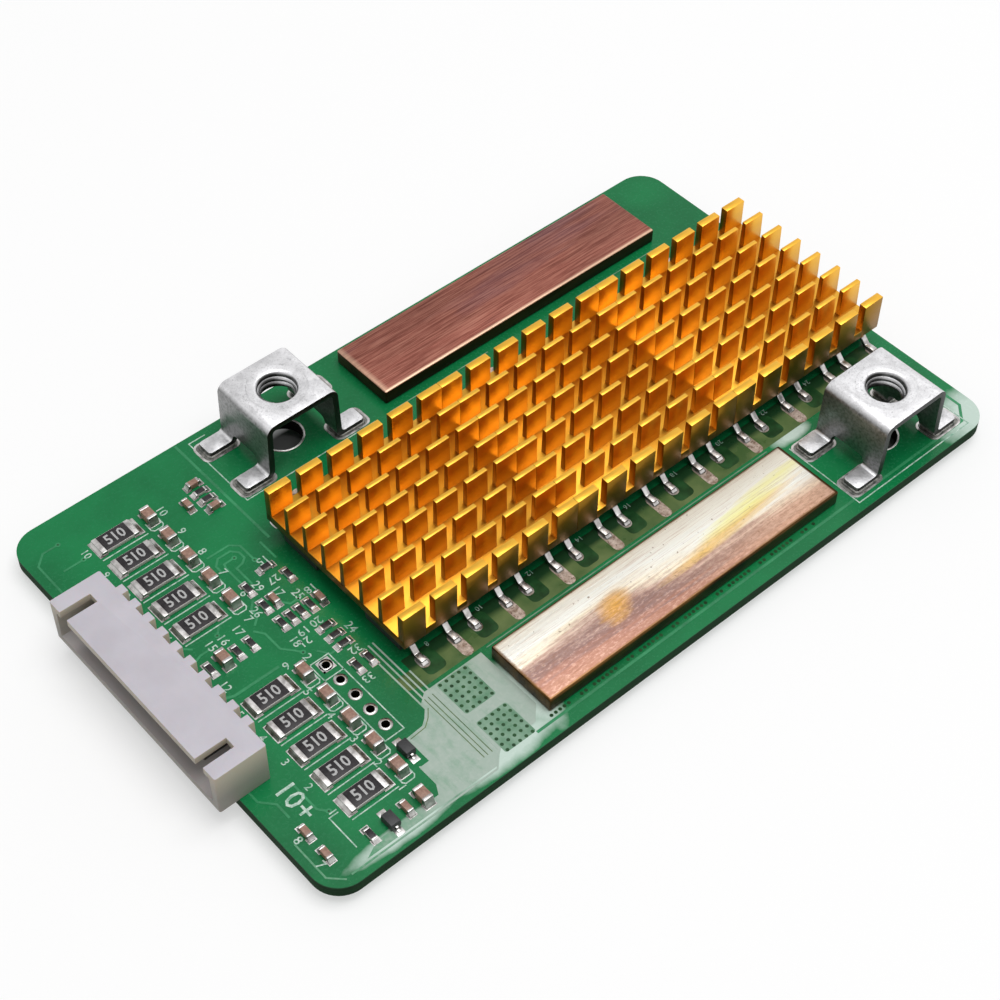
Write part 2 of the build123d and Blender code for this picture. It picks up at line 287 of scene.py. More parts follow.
def cut_laminate(name):
    """The board's routed edge: layered glass cloth, dark, with the mask's lip along the top."""
    paint = Paint(name, Specular_IOR_Level=0.06)
    fibre = paint.noise((0.4, 0.4, 9), 4)
    edge = paint.tones(fibre, (0.004, 0.02, 0.007), (0.02, 0.06, 0.025), 0.35, 0.7)
    edge = paint.over(edge, (0.05, 0.2, 0.09), paint.axes()[2], 2.9, 3.02)
    return paint.finish(edge, fibre, (0.6, 0.8), 0.03)


def mask_over_copper(name):
    """The same solder mask where copper under it makes it paler and raises it."""
    paint = Paint(name, Specular_IOR_Level=0.4)
    grain = paint.noise(2.2, 4)
    green = paint.tones(paint.noise(0.25, 4), shade(colours().track, 0.75), shade(colours().track, 1.2))
    green = paint.over(green, (0.06, 0.33, 0.15), grain, 0.4, 0.8, 0.3)
    return paint.finish(green, grain, (0.2, 0.3), 0.01)


def mask_over_pour(name):
    """Solder mask over the wide copper pour at the front, with a milky painted sheen, a painted reflection."""
    paint = Paint(name, Specular_IOR_Level=0.4)
    cloud = paint.noise(0.25, 5, 0.6)
    streak = paint.noise((0.9, 0.2, 1), 4, 0.6)
    # painted reflection: milky streaked sheen, weaker towards the left
    painted_sheen = paint.between(cloud * 0.45 + streak * 0.55, 0.3, 0.5, 0.5, 1.0)
    left = paint.between(paint.axes()[0] - board_low.x * 1000, 5.0, 17.0, 0.15, 1.0)
    green = paint.mix(painted_sheen * left, shade(colours().track, 1.05), (0.4, 0.5, 0.43))
    green = paint.over(green, (0.55, 0.6, 0.55), paint.noise(2.4, 3), 0.45, 0.75, 0.3)
    return paint.finish(green, cloud, (0.24, 0.36), 0.03)


def mask_over_heavy_copper(name):
    """Solder mask over the heavy copper in front of the transistors, dark and yellowish, with a painted shadow
    darker towards the heatsink.
    """
    paint = Paint(name, Specular_IOR_Level=0.35)
    cloud = paint.noise(0.3, 4)
    green = paint.tones(cloud, (0.055, 0.12, 0.036), (0.14, 0.2, 0.07))
    # painted shadow: darker towards the heatsink, with a ragged edge
    depth = paint.axes()[1] + (cloud - 0.5) * 1.5
    green = paint.over(green, (0.01, 0.045, 0.014), depth, -13.9, -13.1)
    return paint.finish(green, cloud, (0.25, 0.35), 0.02)


def dark_mask(name):
    """Dark solder mask, used as a painted shadow in the gaps behind the leads, and over filled vias."""
    tones = (0.006, 0.04, 0.01), (0.015, 0.08, 0.02)
    return mottled(name, (0.8, 3), *tones, rough=(0.3, 0.4), Specular_IOR_Level=0.3)


def hole_wall(name):
    """Wall of a drilled hole, painted near black as the shade inside it."""
    tones = (0.004, 0.004, 0.003), (0.012, 0.01, 0.008)
    return mottled(name, (2.0, 3), *tones, 0.3, 0.7, Specular_IOR_Level=0.1, Roughness=0.8)


def via_field(name):
    """Solder mask over a field of small vias, greyish with flux."""
    tones = (0.12, 0.27, 0.16), (0.24, 0.39, 0.28)
    return mottled(name, (0.5, 4, 0.6), *tones, rough=(0.24, 0.36), depth_mm=0.02, Specular_IOR_Level=0.4)


def white_print(name):
    """Pale printing ink, thin and slightly ragged in tone."""
    return mottled(name, (2.4, 4, 0.6), (0.2, 0.42, 0.3), (0.62, 0.74, 0.66), 0.36, 0.6, rough=(0.5, 0.7))


def gold_anodising(name):
    """Gold anodised aluminium with the marks of the extrusion and the cross cuts, and painted light and shade: paler
    towards the right, with painted shade at the fins' roots, on the floor between the fins, on the end faces and on
    the outer side faces.
    """
    paint = Paint(name, Metallic=1.0)
    lines = paint.noise((0.5, 14, 14), 3)
    tone = paint.between(paint.noise(0.35, 3) * 0.6 + lines * 0.4, 0.35, 0.65)
    x, y, z = paint.axes()
    end_on, side_on, up = [abs(part) for part in paint.facing()]
    # painted light: paler towards the right, and the painted shade below weaker there
    far = paint.between(x, -25, 45)
    near = 1 - far * 0.4
    gold = paint.mix(tone * 0.5 + far * 0.5, shade(colours().gold, 0.8), colours().gold)
    # painted shade low on the fins' upright faces and on the floor between them
    gold = paint.mix(paint.between(z, 10.4, 6.9, 0.05, 0.85) * (up < 0.5) * near, gold, (0.36, 0.115, 0.006))
    gold = paint.mix(paint.between(z, 10.2, 6.4, 0, 0.5) * (up > 0.5) * near, gold, (0.5, 0.19, 0.015))
    # painted shade on the end faces and on the outer side faces
    gold = paint.mix((end_on > 0.8) * 0.75, gold, (0.2, 0.065, 0.004))
    low, high = cad_span("heatsink_centre")
    outer = paint.between(abs(y - (low.y + high.y) / 2), 11.9, 12.0) * (side_on > 0.8)
    gold = paint.mix(outer * 0.75, gold, (0.16, 0.075, 0.004))
    return paint.finish(gold, lines, (0.3, 0.42), 0.01)


# Polished copper with a painted reflection of the lamp, from the front bar's front edge (0), rosy and dark, to its
# back edge (1), near white
COPPER_REFLECTION_STOPS = [
    (0.05, (0.34, 0.185, 0.135)),
    (0.2, (0.36, 0.19, 0.145)),
    (0.3, (0.25, 0.16, 0.145)),
    (0.4, (0.3, 0.2, 0.175)),
    (0.48, (0.56, 0.4, 0.33)),
    (0.57, (0.93, 0.84, 0.66)),
    (0.75, (1.0, 1.0, 0.93)),
    (0.95, (1.0, 0.97, 0.86)),
]
# Its stains: place along and across, half length and half width as shares of the bar, lean and colour
STAINS = (
    (0.31, 0.5, 0.055, 0.19, 1.2, (0.72, 0.38, 0.07)),
    (0.72, 0.46, 0.24, 0.09, 0.3, (0.85, 0.55, 0.16)),
    (0.82, 0.6, 0.19, 0.11, 0.35, (0.98, 0.93, 0.3)),
)


def stained_copper(name):
    """Front bar: polished copper with amber stains along it, and painted light and shade: a painted reflection,
    cream at the back and rosy at the front, a painted highlight towards the front right, darker along its edges, and
    painted shade on its right end, front bevel and sides.
    """
    paint = Paint(name, Metallic=1.0)
    x, y = paint.axes()[:2]
    low, high = cad_span("front_copper_bar")
    across = (y - low.y) / (high.y - low.y)
    along = (x - low.x) / (high.x - low.x)
    wave = paint.noise((0.05, 0.25, 0.3), 4, 0.6)
    cloud = paint.noise((0.1, 0.9, 0.5), 5, 0.65)
    scratch = paint.noise((0.16, 6, 6), 5, 0.7)
    streak = paint.noise((0.07, 1.6, 1.6), 4, 0.6)
    grain = paint.noise((1.6, 4, 4), 3, 0.6)
    place = across + paint.between(along, 0.35, 1.0, 0, 0.3) + (wave - 0.5) * 0.4 + (streak - 0.5) * 0.4
    copper = paint.node("ShaderNodeValToRGB", {"stops": COPPER_REFLECTION_STOPS}, {0: place})
    # painted highlight towards the front right of the bar
    painted_highlight = paint.between(along, 0.45, 0.9, 0, 0.7) * paint.between(across, 0.45, 0.2)
    copper = paint.mix(painted_highlight, copper, (0.8, 0.5, 0.34))
    ragged = (cloud - 0.5) * 1.9 + (streak - 0.5) * 1.6
    for centre, middle, half, depth, lean, colour in STAINS:
        out = (along - centre) / half
        aside = (across - middle - (along - centre) * lean) / depth
        copper = paint.over(copper, colour, out * out + aside * aside + ragged, 1.4, -0.1, 0.92)
    copper = paint.over(copper, (0.36, 0.17, 0.1), scratch, 0.5, 0.7, 0.5)
    front = paint.between(place, 0.75, 0.45)
    copper = paint.mix(paint.between(grain, 0.48, 0.62, 0, 0.3) * front, copper, (0.2, 0.08, 0.05))
    copper = paint.mix(paint.between(grain, 0.46, 0.34, 0, 0.3) * front, copper, (0.75, 0.5, 0.4))
    copper = paint.over(copper, (0.2, 0.1, 0.04), paint.noise(2.2, 2), 0.7, 0.76, 0.7)
    # darker along the bar's edges, and painted shade at its right end
    inside = ((x - low.x) & (high.x - x)) & ((y - low.y) & (high.y - y))
    copper = paint.over(copper, (0.2, 0.1, 0.03), inside + (scratch - 0.5) * 0.5, 0.45, 0.2, 0.85)
    copper = paint.over(copper, (0.09, 0.045, 0.015), high.x - x, 0.5, 0.35)
    # painted shade on the front bevel and on the upright sides
    up = paint.facing()[2]
    rim = paint.between(up, 0.99, 0.93) * paint.between(across, 0.3, 0.1, 0, 0.9)
    copper = paint.mix(rim, copper, (0.04, 0.02, 0.008))
    copper = paint.mix(up > 0.8, paint.tones(cloud, (0.03, 0.014, 0.006), (0.14, 0.07, 0.02)), copper)
    return paint.finish(copper, scratch, (0.26, 0.42), 0.02)


def brushed_copper(name):
    """Rear bar: dulled copper, brushed along its length, with a painted highlight along its front edge and left end,
    and painted shade on its sides.
    """
    paint = Paint(name, Metallic=0.85)
    x, y = paint.axes()[:2]
    low = cad_span("rear_copper_bar")[0]
    cloud = paint.noise((0.05, 0.3, 0.3), 4, 0.6)
    brush = paint.noise((0.12, 4.5, 4.5), 5, 0.75)
    violet = paint.noise((0.04, 0.25, 0.3), 3)
    copper = paint.tones(cloud, shade(colours().rear_copper, 0.8), shade(colours().rear_copper, 1.2))
    copper = paint.over(copper, (0.19, 0.09, 0.11), violet, 0.5, 0.65, 0.6)
    copper = paint.over(copper, (0.5, 0.25, 0.18), brush, 0.46, 0.7, 0.6)
    copper = paint.over(copper, (0.1, 0.025, 0.018), brush, 0.52, 0.34, 0.75)
    # painted highlight along the front edge and the left end
    rim = paint.between(y - low.y, 0.5, 0.25) | paint.between(x - low.x, 0.9, 0.3, 0, 0.6)
    copper = paint.mix(rim * 0.65, copper, (0.85, 0.6, 0.42))
    # painted shade on the upright sides
    side = paint.tones(cloud, (0.03, 0.012, 0.005), (0.1, 0.045, 0.02))
    copper = paint.mix(paint.facing()[2] > 0.5, side, copper)
    return paint.finish(copper, brush, (0.36, 0.52), 0.02)


def tin_sheet(name):
    """Satin tin plate over formed sheet, mottled with fine dark specks, darker towards the bottom, with painted
    shade on its legs and, nearly black, on the cut edges of the sheet.
    """
    paint = Paint(name, Metallic=1.0)
    cloud = paint.noise(0.6, 5, 0.65)
    grain = paint.noise(6.0, 4)
    speck = paint.noise(2.6, 3, 0.6)
    bright = colours().tin
    tin = paint.tones(cloud, shade(bright, 0.8), shade(bright, 1.06))
    tin = paint.mix(paint.between(grain, 0.3, 0.5, 0.35, 0), tin, shade(bright, 0.5))
    tin = paint.over(tin, shade(bright, 0.4), speck, 0.58, 0.7, 0.5)
    foot = paint.tones(cloud, (0.3, 0.3, 0.31), (0.62, 0.62, 0.63), 0.4, 0.6)
    tin = paint.over(tin, foot, paint.axes()[2], 6.0, 4.6, 0.33)
    # painted shade: the upright legs darker, the cut edges of the sheet nearly black
    x, y = paint.facing()[:2]
    painted_leg_shade = paint.tones(speck, (0.06, 0.065, 0.06), (0.27, 0.27, 0.27), 0.3, 0.7)
    tin = paint.over(tin, painted_leg_shade, abs(x), 0.6, 0.9, 0.88)
    tin = paint.over(tin, (0.02, 0.02, 0.018), abs(y), 0.35, 0.8, 0.96)
    return paint.finish(tin, grain, (0.32, 0.46), 0.02, relief=cloud * 0.6 + grain * 0.4)


def solder(name):
    """Bright solder and tinned pads, with painted shade darkening their upright faces."""
    paint = Paint(name, Metallic=1.0)
    cloud = paint.noise(1.2, 3)
    tin = paint.tones(cloud, (0.42, 0.4, 0.39), (0.7, 0.68, 0.67))
    # painted shade on the upright faces
    tin = paint.over(tin, (0.12, 0.11, 0.1), abs(paint.facing()[2]), 0.5, 0.15, 0.7)
    return paint.finish(tin, cloud, (0.25, 0.42), 0.03)


def dull_solder(name):
    """Solder grey with flux, and darker as painted shade for the shaded side of a joint."""
    tones = (0.08, 0.09, 0.08), (0.3, 0.29, 0.27)
    return mottled(name, (1.5, 4, 0.6), *tones, rough=(0.35, 0.55), depth_mm=0.03, Metallic=0.7)


def fluxed_pad(name):
    """Long soldered pads, pinkish grey and speckled."""
    paint = Paint(name, Metallic=0.6)
    cloud = paint.noise(1.6, 4, 0.65)
    tin = paint.tones(cloud, (0.3, 0.22, 0.17), (0.66, 0.56, 0.5))
    tin = paint.over(tin, (0.1, 0.05, 0.03), paint.noise(4.0, 2), 0.58, 0.68, 0.7)
    return paint.finish(tin, cloud, (0.35, 0.5), 0.03)


def nylon(name):
    """Milky connector nylon, with painted shade: warm grey on its upright faces, darker towards the bottom, and
    darker on the flat faces below its top.
    """
    paint = Paint(name, Specular_IOR_Level=0.35, Subsurface_Weight=0.12, Subsurface_Scale=0.001)
    colour = paint.tones(paint.noise(0.25, 3), shade(colours().nylon, 0.93), colours().nylon)
    # painted shade on the upright faces: warm grey, darker towards the bottom
    upright = paint.between(paint.facing()[2], 0.7, 0.2)
    height = paint.axes()[2]
    upright_painted_shade = paint.tones(height, (0.34, 0.32, 0.27), (0.62, 0.56, 0.43), 5.2, 8.9)
    colour = paint.mix(upright * 0.9, colour, upright_painted_shade)
    # painted shade on the flat faces below the top
    inner = paint.between(height, 8.6, 8.2, 0, 0.6) * (1 - upright)
    colour = paint.mix(inner, colour, (0.36, 0.33, 0.29))
    return paint.finish(colour, paint.noise(4.0, 3), (0.42, 0.55), 0.008)


def black_epoxy(name):
    """Black moulding compound."""
    tones = (0.018, 0.018, 0.02), (0.035, 0.035, 0.038)
    return mottled(name, (7.0, 3), *tones, 0.4, 0.7, rough=(0.42, 0.6), depth_mm=0.01)


def black_glaze(name):
    """Printed resistor coat."""
    tones = (0.014, 0.012, 0.014), (0.03, 0.025, 0.028)
    return mottled(name, (4.0, 3), *tones, 0.4, 0.7, rough=(0.3, 0.45), depth_mm=0.01, Specular_IOR_Level=0.3)


def code_print(name):
    """Pale grey marking of the resistors."""
    return mottled(name, (9.0, 2), (0.4, 0.4, 0.4), (0.56, 0.56, 0.56), 0.4, 0.7, Roughness=0.6)


def alumina(name):
    """White ceramic body of the resistors."""
    return mottled(name, (5.0, 3), (0.5, 0.46, 0.45), (0.66, 0.62, 0.6), 0.4, 0.7, Roughness=0.5)


def brown_ceramic(name):
    """Fired body of the capacitors."""
    return mottled(name, (3.0, 3), (0.27, 0.15, 0.11), (0.4, 0.24, 0.18), 0.4, 0.7, rough=(0.35, 0.5))


def grey_silicone(name):
    """Thermal pad."""
    tones = (0.1, 0.1, 0.11), (0.16, 0.16, 0.17)
    return mottled(name, (3.0, 3), *tones, 0.4, 0.7, depth_mm=0.03, Roughness=0.8)


def pale_floor(name):
    """Plain pale studio floor, seen as white, with a painted shadow well inside the board's outline: darker there
    and without glow.
    """
    paint = Paint(name, Roughness=0.9, Specular_IOR_Level=0.1)
    x, y = paint.axes()[:2]
    middle = (board_low + board_high) * 500
    half = (board_high - board_low) * 500
    past_x, past_y = abs(x - middle.x) - half.x, abs(y - middle.y) - half.y
    clear = paint.between(past_x, -4.5, -1.5) | paint.between(past_y, -4.5, -1.5)
    # painted shadow: the floor darker well inside the board's outline
    paint.finish(paint.mix(clear, (0.12, 0.12, 0.12), (0.5, 0.5, 0.5)))
    glow = paint.rays("Camera", "Glossy", "Transmission") * clear * 0.52
    light = paint.node("ShaderNodeEmission", {}, {"Color": (1, 1, 1, 1), "Strength": glow}, "Emission")
    both = paint.tree.nodes.new("ShaderNodeAddShader")
    paint.tree.links.new(paint.shader.outputs[0], both.inputs[0])
    paint.tree.links.new(light.socket, both.inputs[1])
    output = next(node for node in paint.tree.nodes if node.type == "OUTPUT_MATERIAL")
    paint.tree.links.new(both.outputs[0], output.inputs["Surface"])
    return paint.material


def finish_named(maker):
    """A finish, made once and shared."""
    return bpy.data.materials.get(maker.__name__) or maker(maker.__name__)


# Modelling helpers


def deselect():
    if bpy.context.object and bpy.context.object.mode != "OBJECT":
        bpy.ops.object.mode_set(mode="OBJECT")
    bpy.ops.object.select_all(action="DESELECT")


def pick(piece):
    deselect()
    piece.hide_set(False)
    piece.select_set(True)
    bpy.context.view_layer.objects.active = piece
    return piece


def fixed(piece):
    """Puts a piece's place, turn and scale into its mesh."""
    pick(piece)
    bpy.ops.object.transform_apply(location=True, rotation=True, scale=True)
    return piece


def painted(piece, maker):
    piece.data.materials.clear()
    piece.data.materials.append(finish_named(maker))
    return piece


def block(low, high, maker):
    """A box between two corners, ready to be shaped."""
    deselect()
    middle = (Vector(low) + Vector(high)) / 2
    bpy.ops.mesh.primitive_cube_add(size=1, location=middle, scale=Vector(high) - Vector(low))
    return painted(fixed(bpy.context.object), maker)


def modified(piece, kind, **settings):
    """Adds one modifier and applies it."""
    pick(piece)
    modifier = piece.modifiers.new(kind.title(), kind)
    for key, value in settings.items():
        setattr(modifier, key, value)
    bpy.ops.object.modifier_apply(modifier=modifier.name)
    return piece


def cut(piece, tool):
    """Takes one closed piece out of another."""
    modified(piece, "BOOLEAN", operation="DIFFERENCE", object=tool, solver="EXACT")
    discard(tool)


def smoothed(piece, angle=40):
    pick(piece)
    bpy.ops.object.shade_smooth_by_angle(angle=math.radians(angle))
    return piece


def softened(piece, width, segments=2, angle=30):
    """Rounds a piece's edges and smooths over them."""
    limit = math.radians(angle)
    modified(piece, "BEVEL", width=width, segments=segments, limit_method="ANGLE", angle_limit=limit)
    return smoothed(piece)


def joined(pieces):
    pieces = list(pieces)
    pick(pieces[0])
    for piece in pieces[1:]:
        piece.select_set(True)
    bpy.ops.object.join()
    return bpy.context.object


def copied(piece, place):
    """A copy with its own mesh, set down by a matrix."""
    twin = piece.copy()
    twin.data = piece.data.copy()
    twin.data.transform(place)
    bpy.context.collection.objects.link(twin)
    return twin


def spread(master, places):
    """One piece from a copy of the master at every place."""
    twins = [copied(master, place) for place in places]
    discard(master)
    return joined(twins)


def discard(*pieces):
    for piece in pieces:
        bpy.data.objects.remove(piece)


def at(x, y, z=0.0, turn=0.0):
    return Matrix.Translation((x, y, z)) @ Matrix.Rotation(math.radians(turn), 4, "Z")


def edited(piece, *actions):
    """Runs edit-mode actions on all of a piece."""
    pick(piece)
    bpy.ops.object.mode_set(mode="EDIT")
    for action in actions:
        bpy.ops.mesh.select_all(action="SELECT")
        action()
    bpy.ops.object.mode_set(mode="OBJECT")
    return piece


def bevelled(piece, test, width, segments, profile=0.5):
    """Bevels the edges that pass a test of their two ends."""
    pick(piece)
    bpy.ops.object.mode_set(mode="EDIT")
    bpy.ops.mesh.select_mode(type="EDGE")
    bpy.ops.mesh.select_all(action="DESELECT")
    shape = bmesh.from_edit_mesh(piece.data)
    for edge in shape.edges:
        edge.select = test(edge.verts[0].co, edge.verts[1].co)
    shape.select_flush_mode()
    bmesh.update_edit_mesh(piece.data)
    bpy.ops.mesh.bevel(offset=width, segments=segments, profile=profile)
    bpy.ops.object.mode_set(mode="OBJECT")
    return piece


def drawn(points, links, maker):
    """A mesh of points joined by edges or faces."""
    mesh = bpy.data.meshes.new("outline")
    edges = [link for link in links if len(link) == 2]
    mesh.from_pydata(points, edges, [link for link in links if len(link) > 2])
    piece = bpy.data.objects.new("outline", mesh)
    bpy.context.collection.objects.link(piece)
    return painted(piece, maker)


def turned(profile, steps, maker, rise=0.0, turns=1.0):
    """Turns a profile of (radius, height) points about the upright axis, rising as a thread does."""
    points = [(radius, 0, height) for radius, height in profile]
    piece = drawn(points, [(i, i + 1) for i in range(len(points) - 1)], maker)
    count = round(steps * turns)
    modified(
        piece, "SCREW", angle=math.tau * turns, screw_offset=rise * turns, steps=count, render_steps=count,
        axis="Z", use_merge_vertices=rise == 0, use_smooth_shade=True,
    )
    return edited(piece, lambda: bpy.ops.mesh.normals_make_consistent(inside=False))


def tube(place, inner, outer, low, high, maker):
    """A flat ring or a hole's wall round an upright axis."""
    piece = turned([(inner, high), (outer, high), (outer, low), (inner, low), (inner, high)], 32, maker)
    piece.data.transform(at(*place))
    return piece


def ribbons(paths, width, low, high, maker):
    """Flat strips of even width along open paths, mitred at their corners."""
    points = []
    faces = []
    for path in paths:
        path = [Vector(point) for point in path]
        start = len(points)
        last = start + 4 * (len(path) - 1)
        for i, point in enumerate(path):
            before = (point - path[i - 1]).normalized() if i else None
            after = (path[i + 1] - point).normalized() if point is not path[-1] else None
            along = ((before or after) + (after or before)).normalized()
            lean = along.dot(after or before)
            side = Vector((-along.y, along.x)) * width / 2 / max(lean, 0.4)
            end = along * width / 2 * ((after is None) - (before is None))
            for height in (low, high):
                points.append((*(point + side + end), height))
                points.append((*(point - side + end), height))
        for a in range(start, last, 4):
            b = a + 4
            faces += [(a + 2, a + 3, b + 3, b + 2), (a, b, b + 1, a + 1)]
            faces += [(a, a + 2, b + 2, b), (a + 1, b + 1, b + 3, a + 3)]
        faces += [(start, start + 1, start + 3, start + 2), (last, last + 2, last + 3, last + 1)]
    return drawn(points, faces, maker)


def slab(outline, low, high, maker):
    """A flat sheet with a given outline, counted anticlockwise as seen from above."""
    count = len(outline)
    points = [(x, y, low) for x, y in outline] + [(x, y, high) for x, y in outline]
    faces = [tuple(range(count, 2 * count)), tuple(reversed(range(count)))]
    faces += [(i, (i + 1) % count, count + (i + 1) % count, count + i) for i in range(count)]
    return drawn(points, faces, maker)


def rounded(low_x, low_y, high_x, high_y, radius):
    """Outline of a rectangle with round corners."""
    left, right = low_x + radius, high_x - radius
    near, far = low_y + radius, high_y - radius
    outline = []
    for quarter, (x, y) in enumerate(((right, far), (left, far), (left, near), (right, near))):
        for step in range(5):
            angle = math.radians(90 * quarter + 22.5 * step)
            outline.append((x + radius * math.cos(angle), y + radius * math.sin(angle)))
    return outline


def plate(x, y, half_x, half_y, radius, low, high, maker):
    """A rounded slab about a middle."""
    return slab(rounded(x - half_x, y - half_y, x + half_x, y + half_y, radius), low, high, maker)


def dots(places, radius, low, high, maker):
    """Small flat discs."""
    ring = [(radius * math.cos(i * math.tau / 8), radius * math.sin(i * math.tau / 8)) for i in range(8)]
    return joined([slab([(x + a, y + b) for a, b in ring], low, high, maker) for x, y in places])


def lettering(text, height, place, maker, weight=0.0):
    """Digits as a thin mesh, centred on their place."""
    deselect()
    bpy.ops.object.text_add()
    sign = bpy.context.object.data
    sign.body = text
    sign.size = height
    sign.align_x = sign.align_y = "CENTER"
    sign.extrude = 0.006
    sign.offset = weight
    sign.resolution_u = 2
    bpy.ops.object.convert(target="MESH")
    digits = bpy.context.object
    digits.data.transform(place)
    return painted(digits, maker)


def span(node):
    """Lowest and highest corner of a CAD node, in millimetres on the board."""
    low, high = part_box(node)
    return FROM_FRAME @ low, FROM_FRAME @ high


def middle_of(node):
    low, high = span(node)
    return (low + high) / 2


def likeness(node, maker):
    """A merged copy of a CAD node in millimetres on the board, free of the lines inside its flat faces."""
    original = bpy.data.objects[node]
    piece = original.copy()
    piece.data = original.data.copy()
    bpy.context.collection.objects.link(piece)
    piece.hide_viewport = False
    piece.hide_render = False
    piece.data.transform(FROM_FRAME)
    edited(
        piece,
        lambda: bpy.ops.mesh.remove_doubles(threshold=0.002),
        lambda: bpy.ops.mesh.dissolve_limited(angle_limit=math.radians(1)),
    )
    return painted(piece, maker)


def islands(node):
    """Middle and size of each loose solid in a CAD node."""
    pick(likeness(node, alumina))
    bpy.ops.mesh.separate(type="LOOSE")
    places = []
    for loose in list(bpy.context.selected_objects):
        corners = [Vector(corner) for corner in loose.bound_box]
        low = Vector(map(min, *corners))
        high = Vector(map(max, *corners))
        places.append(((low + high) / 2, high - low))
        discard(loose)
    return sorted(places, key=lambda place: tuple(round(value, 3) for value in place[0]))


def repaint(piece, maker, test):
    """Gives a second finish to the faces that pass a test."""
    piece.data.materials.append(finish_named(maker))
    for face in piece.data.polygons:
        if test(face):
            face.material_index = len(piece.data.materials) - 1
    return piece


def settle(piece, name, nodes):
    piece.data.transform(TO_FRAME @ piece.matrix_world)
    piece.matrix_world = Matrix.Identity(4)
    piece.name = name
    piece.data.name = name
    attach(piece, "root")
    if nodes:
        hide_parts(*nodes)


# Solder and chip parts


def solder_wedge(reach, width, height):
    """A solder fillet that climbs to a part's end: its foot at x = reach, its back at x = 0."""
    wedge = block((0, -0.5, 0), (1, 0.5, 1), solder)
    bevelled(wedge, lambda a, b: min(a.x, b.x) > 0.9 and min(a.z, b.z) > 0.9, 0.92, 5, 0.22)
    wedge.data.transform(Matrix.Diagonal((reach, width, height, 1)))
    return smoothed(wedge, 60)


def soldered_chip(length, width, height, cap, maker, reach, coat=0.0, code=""):
    """A chip part along X, with its end caps and solder, and a coat and code if it has them."""
    skin = 0.03
    half = length / 2
    side = width / 2
    core = block((cap / 2 - half, skin - side, 0.02), (half - cap / 2, side - skin, height - skin), maker)
    parts = [softened(core, 0.04)]
    for way, foot in zip((-1, 1), reach):
        turn = 0 if way > 0 else 180
        near, far = sorted((way * (half - cap), way * half))
        end = block((near, -side, 0.02), (far, side, height), solder)
        pad = block((-cap, -side - 0.12, 0), (foot + 0.08, side + 0.12, 0.03), solder)
        pad.data.transform(at(way * half, 0, 0, turn))
        wedge = solder_wedge(foot, width * 0.94, height * 0.72)
        wedge.data.transform(at(way * (half - 0.02), 0, 0.02, turn))
        parts += [softened(end, 0.09, 3), pad, wedge]
    if coat:
        end = half - cap + 0.05
        top = block((-end, coat - side, height - 0.06), (end, side - coat, height + 0.015), black_glaze)
        parts.append(softened(top, 0.02))
    if code:
        place = at(0, -0.02, height + 0.02) @ Matrix.Diagonal((0.86, 1, 1, 1))
        parts.append(lettering(code, 2.0, place, code_print, weight=0.04))
    return joined(parts)


def chip_row(master, node, name, turn=0):
    """Ten copies of a chip part, each in place of its CAD node."""
    for row in ROWS:
        middle = middle_of(f"{node}_{row:02d}")
        twin = copied(master, at(middle.x, middle.y, 0, turn))
        settle(twin, f"{name}_{row:02d}", [f"{node}_{row:02d}"])
    discard(master)


class BOARD_OT_resistors(bpy.types.Operator):
    """Ten balance resistors with caps, coat, code and solder"""

    bl_idname = "power_board.resistors"
    bl_label = "Balance Resistors"

    code: StringProperty(name="Code", description="Value code printed on each resistor", default="510")

    def execute(self, context):
        low, high = span("balance_resistor_01")
        size = high.x - low.x, high.y - low.y, high.z
        master = soldered_chip(*size, 0.7, alumina, (0.35, 0.6), 0.1, self.code)
        chip_row(master, "balance_resistor", "coded_resistor")
        return {"FINISHED"}


class BOARD_OT_capacitors(bpy.types.Operator):
    """Ten filter capacitors with their solder"""

    bl_idname = "power_board.capacitors"
    bl_label = "Filter Capacitors"

    def execute(self, context):
        low, high = span("filter_capacitor_01")
        size = high.y - low.y, high.x - low.x, high.z
        master = soldered_chip(*size, 0.4, brown_ceramic, (0.3, 0.2))
        chip_row(master, "filter_capacitor", "soldered_capacitor", 90)
        return {"FINISHED"}


class BOARD_OT_small_chips(bpy.types.Operator):
    """Small chip resistors and capacitors round the board"""

    bl_idname = "power_board.small_chips"
    bl_label = "Small Chip Parts"

    def execute(self, context):
        for node, maker, coat, slot in (
            ("chip_resistors", alumina, 0.06, "resistor_black"),
            ("chip_capacitors", brown_ceramic, 0.0, "capacitor_brown"),
        ):
            masters = {}
            twins = []
            for middle, size in islands(node):
                short, long = sorted(size.xy)
                key = round(long, 1)
                if key not in masters:
                    cap = 0.3 if long < 1.8 else 0.45
                    masters[key] = soldered_chip(long, short, size.z, cap, maker, (0.35, 0.35), coat)
                twins.append(copied(masters[key], at(middle.x, middle.y, 0, 90 if size.y > size.x else 0)))
            discard(*masters.values())
            settle(joined(twins), f"soldered_{node}", [node])
        return {"FINISHED"}


class BOARD_OT_diodes(bpy.types.Operator):
    """Two small moulded diodes"""

    bl_idname = "power_board.diodes"
    bl_label = "Diodes"

    def execute(self, context):
        body = 0.9
        for node in ("left_diode", "right_diode"):
            x, y = middle_of(node).xy
            piece = softened(likeness(node, black_epoxy), 0.05)
            parts = [repaint(piece, solder, lambda face: abs(face.center.y - y) > body + 0.02)]
            for way in (-1, 1):
                pad_y = y + way * (body + 0.45)
                pad = block((x - 0.5, pad_y - 0.45, 0), (x + 0.5, pad_y + 0.45, 0.06), solder)
                parts.append(softened(pad, 0.03))
            settle(joined(parts), f"moulded_{node}", [node])
        return {"FINISHED"}


